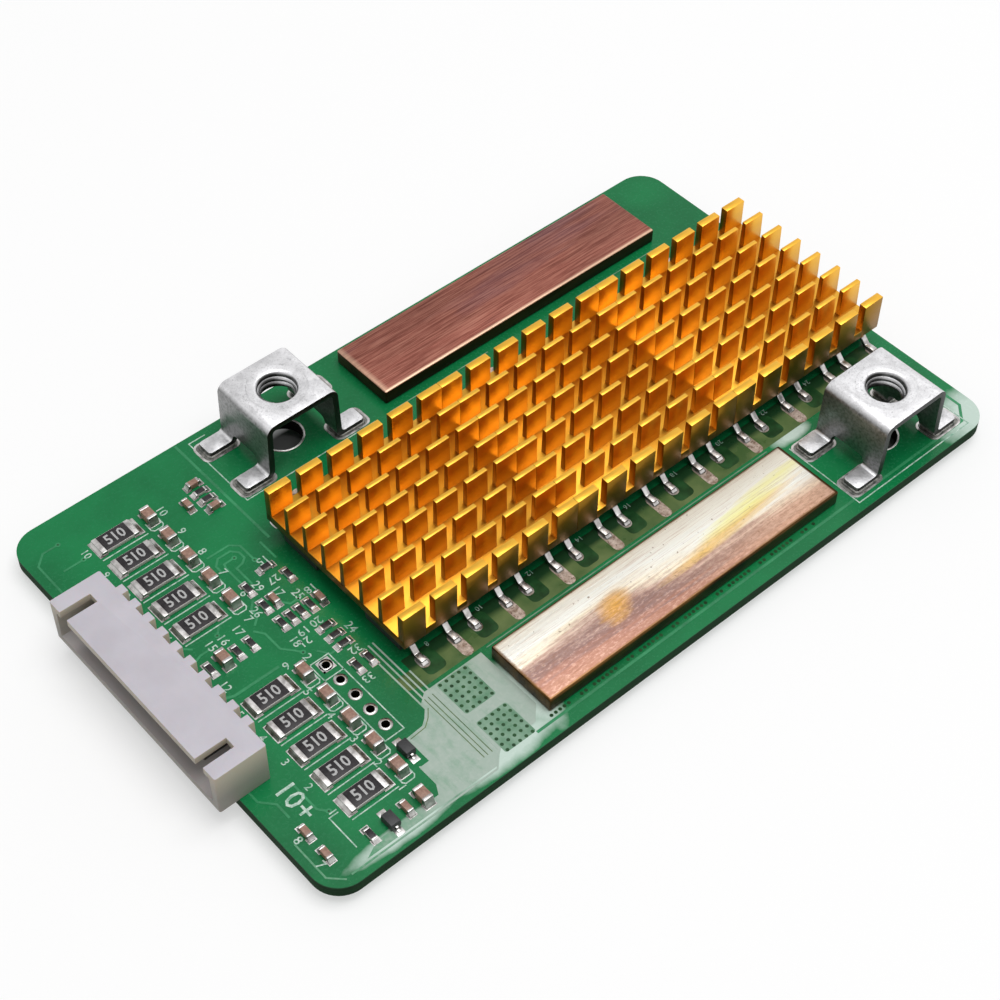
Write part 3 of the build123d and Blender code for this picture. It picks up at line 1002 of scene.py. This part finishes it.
class BOARD_OT_transistors(bpy.types.Operator):
    """Twenty power transistors, their leads soldered down"""

    bl_idname = "power_board.transistors"
    bl_label = "Power Transistors"

    def solid(self, node, side):
        """One transistor whose leads point to a side, -1 for the front and 1 for the back."""
        low, high = span(node)
        tip = low.y if side < 0 else high.y
        moulding_end = tip - side * 2.9
        piece = softened(likeness(node, black_epoxy), 0.07)
        parts = [repaint(piece, solder, lambda face: (face.center.y - moulding_end) * side > -0.02)]
        heel = tip + side * 0.02
        left_x = (low.x + high.x - LEAD_SPACING) / 2
        for x, reach, half, maker in (
            (left_x, 0.6, 0.66, solder),
            (left_x + LEAD_SPACING, 2.4, 0.7, fluxed_pad),
        ):
            near = heel - side * 1.3
            low_y, high_y = sorted((near, heel + side * reach))
            parts.append(slab(rounded(x - half, low_y, x + half, high_y, half * 0.96), 0.0, 0.035, maker))
            low_y, high_y = sorted((near + 0.16 * (side > 0), heel + side * 0.36))
            half -= 0.16
            parts.append(slab(rounded(x - half, low_y, x + half, high_y, 0.3), 0.03, 0.05, dull_solder))
            toe = solder_wedge(0.34, 0.74, 0.26)
            toe.data.transform(at(x, tip - side * 0.05, 0.04, 90 * side))
            parts.append(toe)
        return joined(parts)

    def execute(self, context):
        for row_name, side in (("front", -1), ("rear", 1)):
            for number in ROWS:
                node = f"{row_name}_transistor_{number:02d}"
                settle(self.solid(node, side), f"soldered_{node}", [node])
        return {"FINISHED"}


# Heatsink and bars


class BOARD_OT_heatsink(bpy.types.Operator):
    """Three gold heatsink blocks, their fins standing on a thick base"""

    bl_idname = "power_board.heatsink"
    bl_label = "Heatsink"

    rows: IntProperty(name="Fin rows", description="Fins across each block", default=8, min=2)
    columns: IntProperty(name="Fin columns", description="Fins along each block", default=6, min=1)

    def execute(self, context):
        base_height, root, tip, side, gap, pitch = 1.2, 0.8, 0.6, 1.0, 1.28, 3.27
        edge = sizes().fin_edge
        for node in ("heatsink_left", "heatsink_centre", "heatsink_right"):
            low, high = span(node)
            fin_length = (high.x - low.x + gap) / self.columns - gap
            tall = high.z - low.z - base_height
            foot = low.z + base_height
            middle = (low.y + high.y) / 2
            inner = block((0, -root / 2, -0.3), (fin_length, root / 2, tall), gold_anodising)
            for vertex in inner.data.vertices:
                if vertex.co.z > 0:
                    vertex.co.y *= tip / root
            outer = block((0, 0, -base_height), (fin_length, side, tall), gold_anodising)
            columns = [low.x + column * (fin_length + gap) for column in range(self.columns)]
            rows = [middle + (row - (self.rows - 3) / 2) * pitch for row in range(self.rows - 2)]
            inset = 0.004
            base = block((low.x, low.y + inset, low.z), (high.x, high.y - inset, foot), gold_anodising)
            parts = [
                softened(base, edge),
                spread(softened(inner, edge), [at(x, y, foot) for x in columns for y in rows]),
                spread(softened(outer, edge), [at(x, y, foot) for x in columns for y in (low.y, high.y - side)]),
            ]
            settle(joined(parts), f"finned_{node}", [node])
        return {"FINISHED"}


class BOARD_OT_pad(bpy.types.Operator):
    """Silicone pad between the transistors and the heatsink"""

    bl_idname = "power_board.pad"
    bl_label = "Thermal Pad"

    def execute(self, context):
        painted(bpy.data.objects["thermal_pad"], grey_silicone)
        return {"FINISHED"}


class BOARD_OT_bars(bpy.types.Operator):
    """Two copper current bars with broken edges, and the fine lines beside them"""

    bl_idname = "power_board.bars"
    bl_label = "Copper Bars"

    def execute(self, context):
        for node, maker, slot in zip(BARS, (stained_copper, brushed_copper), ("bright_copper", "dull_copper")):
            low, high = span(node)
            settle(softened(block(low, high, maker), 0.24, 4), f"brushed_{node}", [node])
            y = high.y + 1.3
            runs = [(0.6, high.x - low.x - 0.4)]
            if node == "rear_copper_bar":
                y = low.y - 1.25
                runs = [(-0.4, 4.2), (8.2, 15), (30, 43)]
            seam = ribbons([[(low.x + a, y), (low.x + b, y)] for a, b in runs], 0.13, 0.0, 0.03, via_field)
            settle(seam, f"line_by_{node}", ())
        return {"FINISHED"}


# Terminals


def folded_line():
    """Centre line of the terminal strip, from one foot's tip to the other, with its folds rounded."""
    corners = [(-8.65, 0.4), (-4.95, 0.4), (-4.7, 7.8), (4.7, 7.8), (4.95, 0.4), (8.65, 0.4)]
    radius = 0.9
    steps = 8
    line = [Vector(corners[0])]
    for before, corner, after in zip(corners, corners[1:], corners[2:]):
        corner = Vector(corner)
        back = (Vector(before) - corner).normalized()
        ahead = (Vector(after) - corner).normalized()
        half = back.angle(ahead) / 2
        reach = radius / math.tan(half)
        centre = corner + (back + ahead).normalized() * radius / math.sin(half)
        start = corner + back * reach - centre
        sweep = start.angle_signed(corner + ahead * reach - centre)
        line += [centre + Matrix.Rotation(-sweep * step / steps, 2) @ start for step in range(steps + 1)]
    line.append(Vector(corners[-1]))
    return line


class BOARD_OT_terminals(bpy.types.Operator):
    """Two folded terminals, each with a drawn collar, a tapped thread and soldered feet"""

    bl_idname = "power_board.terminals"
    bl_label = "Screw Terminals"

    def strip(self):
        """The folded strip with its arches and hole cut out."""
        half_width = 4.8
        line = folded_line()
        points = [(point.x, side * half_width, point.y) for point in line for side in (-1, 1)]
        faces = [(2 * i, 2 * i + 2, 2 * i + 3, 2 * i + 1) for i in range(len(line) - 1)]
        sheet = drawn(points, faces, tin_sheet)
        modified(sheet, "SOLIDIFY", thickness=0.8, offset=0.0, use_even_offset=True)
        arch = block((-10, -2.45, -1), (10, 2.45, 1.9), tin_sheet)
        bevelled(arch, lambda a, b: min(a.z, b.z) > 1.8 and abs(a.x - b.x) > 1, 0.8, 5)
        cut(sheet, arch)
        bevelled(
            sheet,
            lambda a, b: abs(a.z - b.z) > 0.5 and max(a.z, b.z) < 1 and abs(a.x) > 8.5 and abs(a.x - b.x) < 0.05,
            0.45,
            4,
        )
        softened(sheet, 0.12, 3, 35)
        cut(sheet, turned([(0, 5), (3.6, 5), (3.6, 10), (0, 10)], 48, tin_sheet))
        return smoothed(sheet)

    def collar(self):
        """The drawn funnel and its neck, turned about the screw's axis."""
        outer = sizes().thread_outer
        profile = [(3.62, 8.2), (2.84, 8.2), (2.66, 8.17), (2.52, 8.1), (2.42, 7.98), (outer, 7.8), (outer, 5.9)]
        profile += [(outer + 0.08, 5.82), (2.82, 5.8), (2.9, 5.88), (2.9, 7.2), (3.0, 7.36), (3.2, 7.4), (3.62, 7.4)]
        return turned(profile, 48, tin_sheet)

    def thread(self):
        outer, inner, pitch = sizes().thread_outer + 0.03, sizes().thread_inner, sizes().thread_pitch
        ridge = [(outer, -0.36), (inner, -0.06), (inner, 0.06), (outer, 0.36)]
        coil = turned([(radius, 6.1 + share * pitch) for radius, share in ridge], 36, tin_sheet, pitch, 2)
        coil.data.transform(Matrix.Rotation(math.radians(225), 4, "Z"))
        return coil

    def execute(self, context):
        master = joined([self.strip(), self.collar(), self.thread()])
        for node in TERMINALS:
            middle = middle_of(node)
            settle(copied(master, at(middle.x, middle.y)), f"tapped_{node}", [node])
            joints = []
            for side in (-1, 1):
                for foot in (-1, 1):
                    place = middle.x + side * 6.9, middle.y + foot * 3.62
                    mound = plate(*place, 1.95, 1.36, 0.5, 0.05, 0.26, dull_solder)
                    joints += [
                        plate(*place, 2.6, 1.72, 0.9, 0.0, 0.045, solder),
                        plate(*place, 2.3, 1.5, 0.7, 0.04, 0.065, dull_solder),
                        softened(mound, 0.12, 3),
                    ]
            settle(joined(joints), f"solder_of_{node}", ())
        discard(master)
        return {"FINISHED"}


# Connector


class BOARD_OT_connector(bpy.types.Operator):
    """The cell connector: nylon housing, pins, and their solder below the board"""

    bl_idname = "power_board.connector"
    bl_label = "Cell Connector"

    def execute(self, context):
        housing = softened(likeness("connector_housing", nylon), sizes().edge, 3)
        settle(housing, "moulded_housing", ["connector_housing"])
        pins = softened(likeness("connector_pins", tin_sheet), 0.05, 2)
        settle(pins, "bent_pins", ["connector_pins"])
        cone = [(0.95, 0), (0.93, -0.05), (0.62, -0.2), (0.45, -0.55), (0.36, -0.95), (0.0, -1.02)]
        places = [at(PIN_X, middle.y, -LAMINATE) for middle, _ in islands("connector_pins")]
        settle(spread(turned(cone, 16, solder), places), "solder_of_pins", ())
        return {"FINISHED"}


# Board surface


class BOARD_OT_board(bpy.types.Operator):
    """The board's solder mask, with the plated rings of its holes"""

    bl_idname = "power_board.board"
    bl_label = "Circuit Board"

    def execute(self, context):
        board = likeness("circuit_board", mask_over_laminate)
        repaint(board, cut_laminate, lambda face: abs(face.normal.z) < 0.5)
        settle(board, "masked_board", ["circuit_board"])
        x, y = HEADER
        holes = [(middle_of(node).xy, 2.5, 2.74) for node in TERMINALS]
        holes += [((x, y - HEADER_PITCH * hole), 0.5, 0.8) for hole in range(5)]
        under = -LAMINATE
        rings = []
        walls = []
        for place, bore, rim in holes:
            rings += [tube(place, bore - 0.01, rim, low, low + 0.03, solder) for low in (0.0, under - 0.03)]
            # hole walls painted near black as the shade inside the holes
            walls.append(tube(place, bore - 0.02, bore, under - 0.02, 0.02, hole_wall))
        square = [(x + a * 0.72, y + b * 0.72) for a, b in ((-1, -1), (1, -1), (1, 1), (-1, 1), (-1, -1))]
        rings.append(ribbons([square], 0.26, 0.0, 0.03, solder))
        settle(joined(walls), "hole_walls", ())
        settle(joined(rings), "plated_holes", ())
        return {"FINISHED"}


FINE_TRACKS = [
    [(1.17, 20.1), (1.17, 24.8), (2.56, 26.1), (4.6, 26.1)],
    [(3.1, 22.4), (5.6, 22.4)],
    [(16.2, 13.4), (19.1, 13.4), (20.06, 12.5), (20.06, 9.8)],
    [(16.2, 10.7), (16.2, 11.8), (17, 12.6), (18.7, 12.6), (19.4, 11.8), (19.4, 10.8), (18.7, 10.25),
     (17.8, 10.1), (17.8, 7.3)],
    [(18.5, 11.5), (17.1, 11.5), (16.9, 10.9), (16.9, 7.6)],
    [(14, 1.7), (14.7, 0.7), (14.7, -2), (15.8, -3.3), (16.3, -4)],
    [(13.2, 4.9), (11.6, 4.9), (10.6, 3.9)],
    [(14.6, 2.4), (15.3, 3.0), (15.6, 4.4), (16.4, 5.2)],
    [(6.2, 5.4), (7.4, 4.2)],
    [(6.6, 2.5), (7.6, 2.9), (8.6, 2.9)],
    [(18.6, 3.2), (19.3, 2.2), (20.4, 2.2)],
    [(17.6, -4.9), (18.4, -6.1), (19.0, -6.1)],
    [(1.17, -14.3), (1.17, -16), (2.5, -17.5), (2.5, -19.5)],
    [(5.2, -16.4), (5.2, -20.6), (6.0, -21.6)],
    [(22.1, 8.6), (22.1, 11.4)],
]
WIDE_TRACKS = [
    [(6.5, -3.5), (7.3, -3.8), (13, -3.8)],
    [(23.3, 11.5), (23.3, 29.6)],
    [(28.6, -28.3), (96.5, -28.3), (98.3, -26.4), (98.3, -14)],
]
TRACK_VIAS = [
    (16.3, -4), (18.5, 11.5), (10.6, 3.9), (5.6, 22.4), (4.6, 26.1), (20.06, 9.8), (6.0, -21.6), (20.4, 2.2),
]
POUR = [
    (17.6, -23.6), (16.4, -23.6), (16.4, -26.3), (15.8, -27.4), (7.5, -27.5), (5.5, -28.5), (22.5, -28.7),
    (24.4, -27.2), (29.2, -27.2), (30.8, -25.5), (30.8, -16.6), (22.8, -16.6), (21.5, -17.6), (21.5, -18.4),
    (20.7, -19.3), (19.9, -19.9), (17.6, -20.05),
]
# Tracks in the pour's finish, pale from its painted sheen
PALE_TRACKS = [
    [(3.3, -28.85), (22.3, -29.0), (24.0, -27.3), (24.0, -16.8)],
    [(17.6, -20.05), (19.9, -19.9), (20.7, -19.3), (21.5, -18.4), (21.5, -8)],
    [(22.15, -8), (22.15, -17.2)],
    [(22.75, -8), (22.75, -16.8)],
    [(23.4, -13.5), (23.4, -16.8)],
    [(16.4, -23.6), (16.4, -26.3), (15.8, -27.4)],
    [(1.0, -22.5), (1.0, -27.5), (2.4, -28.9)],
]
DIM_TRACKS = [[(x, -17.4), (x, -27.0)] for x in (22.2, 22.7, 23.3)] + [
    [(17.9, -20.3), (20.0, -20.15), (21.0, -19.4), (21.75, -18.5)]
]
# Heavy copper in front of the transistors, its outline reaching the heatsink, where its finish carries a painted
# shadow
HEAVY_COPPER = [
    (21.6, -15.4), (23.6, -16.1), (98.0, -16.1), (98.0, -11.8), (23.5, -11.8), (23.5, -13.4), (21.6, -13.4),
]


class BOARD_OT_tracks(bpy.types.Operator):
    """Copper tracks, pours and vias under the solder mask, above and below"""

    bl_idname = "power_board.tracks"
    bl_label = "Tracks and Pours"

    def above(self):
        top = sizes().track_height
        parts = [
            ribbons(FINE_TRACKS, 0.26, 0.0, top, mask_over_copper),
            ribbons(WIDE_TRACKS, 0.34, 0.0, top, mask_over_copper),
            dots(TRACK_VIAS, 0.34, 0.0, top + 0.004, mask_over_copper),
            dots(TRACK_VIAS, 0.13, 0.0, top + 0.008, dark_mask),
            slab(POUR, 0.0, 0.012, mask_over_pour),
            ribbons(PALE_TRACKS, 0.2, 0.0, 0.03, mask_over_pour),
            ribbons(DIM_TRACKS, 0.1, 0.0, 0.022, mask_over_heavy_copper),
        ]
        vias = []
        for low_y, high_y in ((-21.75, -16.75), (-28.1, -23.2)):
            parts.append(slab(rounded(24.3, low_y, 28.5, high_y, 0.3), 0.0, 0.02, via_field))
            vias += [(24.64 + 0.875 * i, high_y - 0.3 - 0.88 * j) for i in range(5) for j in range(6)]
        vias += [(31 + 0.62 * i, -27.7) for i in range(66) if i % 11 not in (5, 6, 9)]
        parts.append(dots(vias, 0.22, 0.0, 0.026, dark_mask))
        parts.append(slab(HEAVY_COPPER, 0.0, 0.01, mask_over_heavy_copper))
        # painted shadow: dark mask sheets between the front leads, in front of the heatsink
        for k in range(10):
            x = 25.9 + TRANSISTOR_PITCH * k
            parts.append(plate(x, -13.85, 1.3, 1.65, 0.7, 0.0, 0.016, dark_mask))
        return parts

    def below(self):
        """Covered tracks from the connector to the monitor chip, and heavy copper under the bars."""
        low, high = -LAMINATE - sizes().track_height, -LAMINATE
        chip_low, chip_high = span("monitor_chip")
        chip_y = (chip_low.y + chip_high.y) / 2
        tracks = []
        for pin, (middle, _) in enumerate(islands("connector_pins")):
            y = chip_y + (pin - 5) * CHIP_LEAD_PITCH
            near_x = chip_low.x - 0.9
            bend_x = max(near_x - abs(middle.y - y), 5.6)
            tracks.append([(PIN_X, middle.y), (bend_x, middle.y), (near_x, y), (chip_low.x + 0.1, y)])
        ends = []
        for step in range(6):
            y = chip_y + (step - 2.5) * 2 * CHIP_LEAD_PITCH
            far_x = chip_high.x + 4.5 - 0.5 * step
            ends.append((far_x, 16 + 0.6 * step))
            tracks.append([(chip_high.x - 0.1, y), (far_x, y), ends[-1]])
        parts = [ribbons(tracks, 0.28, low, high, mask_over_copper), dots(ends, 0.3, low - 0.01, high, dark_mask)]
        for node in BARS:
            near, far = span(node)
            field = rounded(near.x - 1, near.y - 1, far.x + 1, far.y + 1, 1.2)
            columns = range(int((far.x - near.x - 1) / 1.5))
            vias = [(near.x + 1 + 1.5 * i, near.y + 1.2 + 2.4 * j) for i in columns for j in range(4)]
            parts += [slab(field, low, high, mask_over_copper), dots(vias, 0.3, low - 0.01, high, dark_mask)]
        return parts

    def execute(self, context):
        settle(joined(self.above()), "covered_copper_above", ())
        settle(joined(self.below()), "covered_copper_below", ())
        return {"FINISHED"}


class BOARD_OT_underside(bpy.types.Operator):
    """The monitor chip and the shunts, soldered to the underside"""

    bl_idname = "power_board.underside"
    bl_label = "Underside Parts"

    def monitor(self):
        body_half, pad_middle = 2.2, 3.025
        middle = middle_of("monitor_chip")
        chip = softened(likeness("monitor_chip", black_epoxy), 0.04)
        parts = [repaint(chip, solder, lambda face: abs(face.center.x - middle.x) > body_half + 0.02)]
        for side in (-1, 1):
            for lead in range(12):
                place = middle.x + side * pad_middle, middle.y + (lead - 5.5) * CHIP_LEAD_PITCH
                parts.append(plate(*place, 0.425, 0.2, 0.12, -LAMINATE - 0.035, -LAMINATE, solder))
        return parts

    def shunts(self):
        low, high = span("shunt_resistors")
        ends = (low.y + SHUNT_CAP, high.y - SHUNT_CAP)
        shunts = softened(likeness("shunt_resistors", black_glaze), 0.06)
        for y in ends:
            edited(shunts, lambda: bpy.ops.mesh.bisect(plane_co=(0, y, 0), plane_no=(0, 1, 0)))
        parts = [repaint(shunts, solder, lambda face: not ends[0] <= face.center.y <= ends[1])]
        flip = Matrix.Scale(-1, 4, (0, 0, 1))
        for middle, size in islands("shunt_resistors"):
            for side in (-1, 1):
                wedge = solder_wedge(0.6, size.x * 0.94, 0.42)
                wedge.data.transform(flip @ at(middle.x, middle.y + side * size.y / 2, LAMINATE, 90 * side))
                wedge.data.flip_normals()
                parts.append(wedge)
        return parts

    def execute(self, context):
        settle(joined(self.monitor()), "soldered_monitor_chip", ["monitor_chip"])
        settle(joined(self.shunts()), "soldered_shunts", ["shunt_resistors"])
        return {"FINISHED"}


PRINTED_LINES = [
    [(15.7, -5.9), (18.25, -5.9), (18.25, -18.75), (15.7, -18.75), (15.7, -5.9)],
    [(15.7, -8.56), (18.25, -8.56)],
    [(43.6, 17.45), (24.75, 17.45), (24.75, 29.0), (27.0, 29.0)],
    [(77.65, -18.0), (77.65, -29.0), (96.8, -29.0), (96.8, -18.0)],
    [(6.6, -22.3), (5.5, -22.3), (5.5, -26.7)],
]
# Plain numbers: text, place and turn
PRINTED_NUMBERS = [
    ("15", 9.2, 3.2, 0), ("16", 10.7, 3.0, 0), ("17", 12.7, 3.0, 0), ("7", 14.5, 3.5, 0), ("26", 15.7, 3.7, 0),
    ("29", 18.0, 6.5, 0), ("17", 19.3, 4.5, 0), ("27", 20.0, 6.2, 270), ("15", 20.7, 9.2, 270),
    ("25", 20.7, 2.7, 0), ("18", 22.3, 2.5, 270), ("12", 7.2, -2.2, 0), ("18", 16.5, -2.3, 0),
    ("19", 18.1, -1.7, 270), ("20", 19.9, -1.6, 270), ("21", 17.3, -3.0, 270), ("24", 22.3, -4.7, 0),
    ("32", 20.8, -7.3, 270), ("6", 13.8, -4.2, -90), ("2", 16.2, -4.8, 0), ("33", 19.5, -11.2, 270),
    ("8", 1.5, -22.3, 0), ("7", 1.5, -26.0, 0),
]


class BOARD_OT_printing(bpy.types.Operator):
    """White lines and plain numbers printed on the board"""

    bl_idname = "power_board.printing"
    bl_label = "Printing"

    def number(self, text, height, x, y, weight=0.01, turn=-90):
        return lettering(str(text), height, at(x, y, PRINT_LEVEL, turn), white_print, weight)

    def execute(self, context):
        lines = list(PRINTED_LINES)
        numbers = [self.number(text, 1.5, x, y, turn=turn - 90) for text, x, y, turn in PRINTED_NUMBERS]
        numbers.append(self.number("10+", 3.3, 4.1, -18.4, 0.02))
        for k in range(9):
            numbers.append(self.number(8 + 2 * k, 0.95, 27.1 + TRANSISTOR_PITCH * k, -11.8, 0.0, 180))
        for row in ROWS:
            part_y = middle_of(f"balance_resistor_{row:02d}").y
            lines.append([(7.2, part_y - 1.75), (13.2, part_y - 1.75)])
            x, y = middle_of(f"filter_capacitor_{row:02d}").xy
            cradle = ((-0.82, 0.5), (-0.82, 1.65), (-0.55, 1.95), (0.55, 1.95), (0.82, 1.65), (0.82, 0.5))
            lines.append([(x + a, y - b) for a, b in cradle])
            beside = (1.5, 16.3, y, 0.015) if part_y > 0 else (1.35, 13.4, y - 2.1)
            numbers += [self.number(row, *beside), self.number(row, 1.35, 6.2, part_y + 0.3)]
        piece = ribbons(lines, sizes().print_width, 0.0, sizes().print_height, white_print)
        settle(joined([piece] + numbers), "printed_lines", ())
        return {"FINISHED"}


class BOARD_OT_stage(bpy.types.Operator):
    """Pale floor, soft studio light and the camera"""

    bl_idname = "power_board.stage"
    bl_label = "Studio Stage"

    def execute(self, context):
        deselect()
        bpy.ops.mesh.primitive_plane_add(size=6, location=(0, 0, -0.00001))
        floor = painted(fixed(bpy.context.object), pale_floor)
        floor.name = "studio_floor"
        self.light(context)
        self.lamp("main_lamp", (0.12, -0.14, 1.1), 0.8, 8.4)
        self.camera(context)
        context.scene.view_settings.view_transform = "Standard"
        return {"FINISHED"}

    def light(self, context):
        """Soft room: white round the horizon, its ceiling dimmer towards the back."""
        world = bpy.data.worlds.new("studio_light")
        world.use_nodes = True
        room = Nodes(world.node_tree)
        y, z = room.parts(room.node("ShaderNodeTexCoord", output="Generated"))[1:]
        back = room.between(y, 0.38, 0.56) * 0.42
        level = 1 - room.between(z, 0.42, 0.6) * back
        strength = room.between(room.rays("Camera", "Glossy", "Transmission"), 0, 1, 0.36, level)
        background = world.node_tree.nodes["Background"]
        background.inputs["Color"].default_value = (1, 1, 1, 1)
        room.feed(background.inputs["Strength"], strength)
        context.scene.world = world

    def lamp(self, name, place, size, watts):
        lamp = bpy.data.lights.new(name, "AREA")
        lamp.size = size
        lamp.energy = watts
        holder = bpy.data.objects.new(name, lamp)
        holder.location = place
        holder.rotation_euler = Vector(place).to_track_quat("Z", "Y").to_euler()
        bpy.context.collection.objects.link(holder)

    def camera(self, context):
        """The photograph's camera, as solved from its parts of known size."""
        lens = bpy.data.cameras.new("photo_camera")
        lens.sensor_width = 36
        lens.lens = 72.65
        lens.shift_x = 0.0183
        lens.shift_y = 0.0012
        lens.clip_start = 0.01
        holder = bpy.data.objects.new("photo_camera", lens)
        context.collection.objects.link(holder)
        right = Vector((0.755077, -0.655636, -0.000419)).normalized()
        tilt = math.radians(49.125)
        upright = Vector((0, 0, 1))
        ahead = upright.cross(right).normalized() * math.cos(tilt) - upright * math.sin(tilt)
        turn = Matrix((right, right.cross(ahead), -ahead)).transposed().to_4x4()
        holder.matrix_world = Matrix.Translation((-0.103332, -0.115079, 0.178664)) @ turn
        context.scene.camera = holder


PIECES = (
    BOARD_OT_board,
    BOARD_OT_tracks,
    BOARD_OT_printing,
    BOARD_OT_heatsink,
    BOARD_OT_pad,
    BOARD_OT_transistors,
    BOARD_OT_bars,
    BOARD_OT_terminals,
    BOARD_OT_connector,
    BOARD_OT_resistors,
    BOARD_OT_capacitors,
    BOARD_OT_small_chips,
    BOARD_OT_diodes,
    BOARD_OT_underside,
    BOARD_OT_stage,
)


class BOARD_PT_panel(bpy.types.Panel):
    """Sidebar list of the board's pieces"""

    bl_label = "Battery Management Board"
    bl_idname = "BOARD_PT_panel"
    bl_space_type = "VIEW_3D"
    bl_region_type = "UI"
    bl_category = "Power Board"

    def draw(self, context):
        for group in (context.scene.board_sizes, context.scene.board_colours):
            column = self.layout.column()
            for key in group.bl_rna.properties.keys():
                if key not in ("rna_type", "name"):
                    column.prop(group, key)
        for piece in PIECES:
            self.layout.operator(piece.bl_idname)


CLASSES = (Sizes, Colours, *PIECES, BOARD_PT_panel)


def register():
    for kind in CLASSES:
        bpy.utils.register_class(kind)
    bpy.types.Scene.board_sizes = PointerProperty(type=Sizes)
    bpy.types.Scene.board_colours = PointerProperty(type=Colours)


def unregister():
    del bpy.types.Scene.board_colours
    del bpy.types.Scene.board_sizes
    for kind in reversed(CLASSES):
        bpy.utils.unregister_class(kind)


def main():
    register()
    for piece in PIECES:
        group, name = piece.bl_idname.split(".")
        getattr(getattr(bpy.ops, group), name)()


if __name__ == "__main__":
    main()
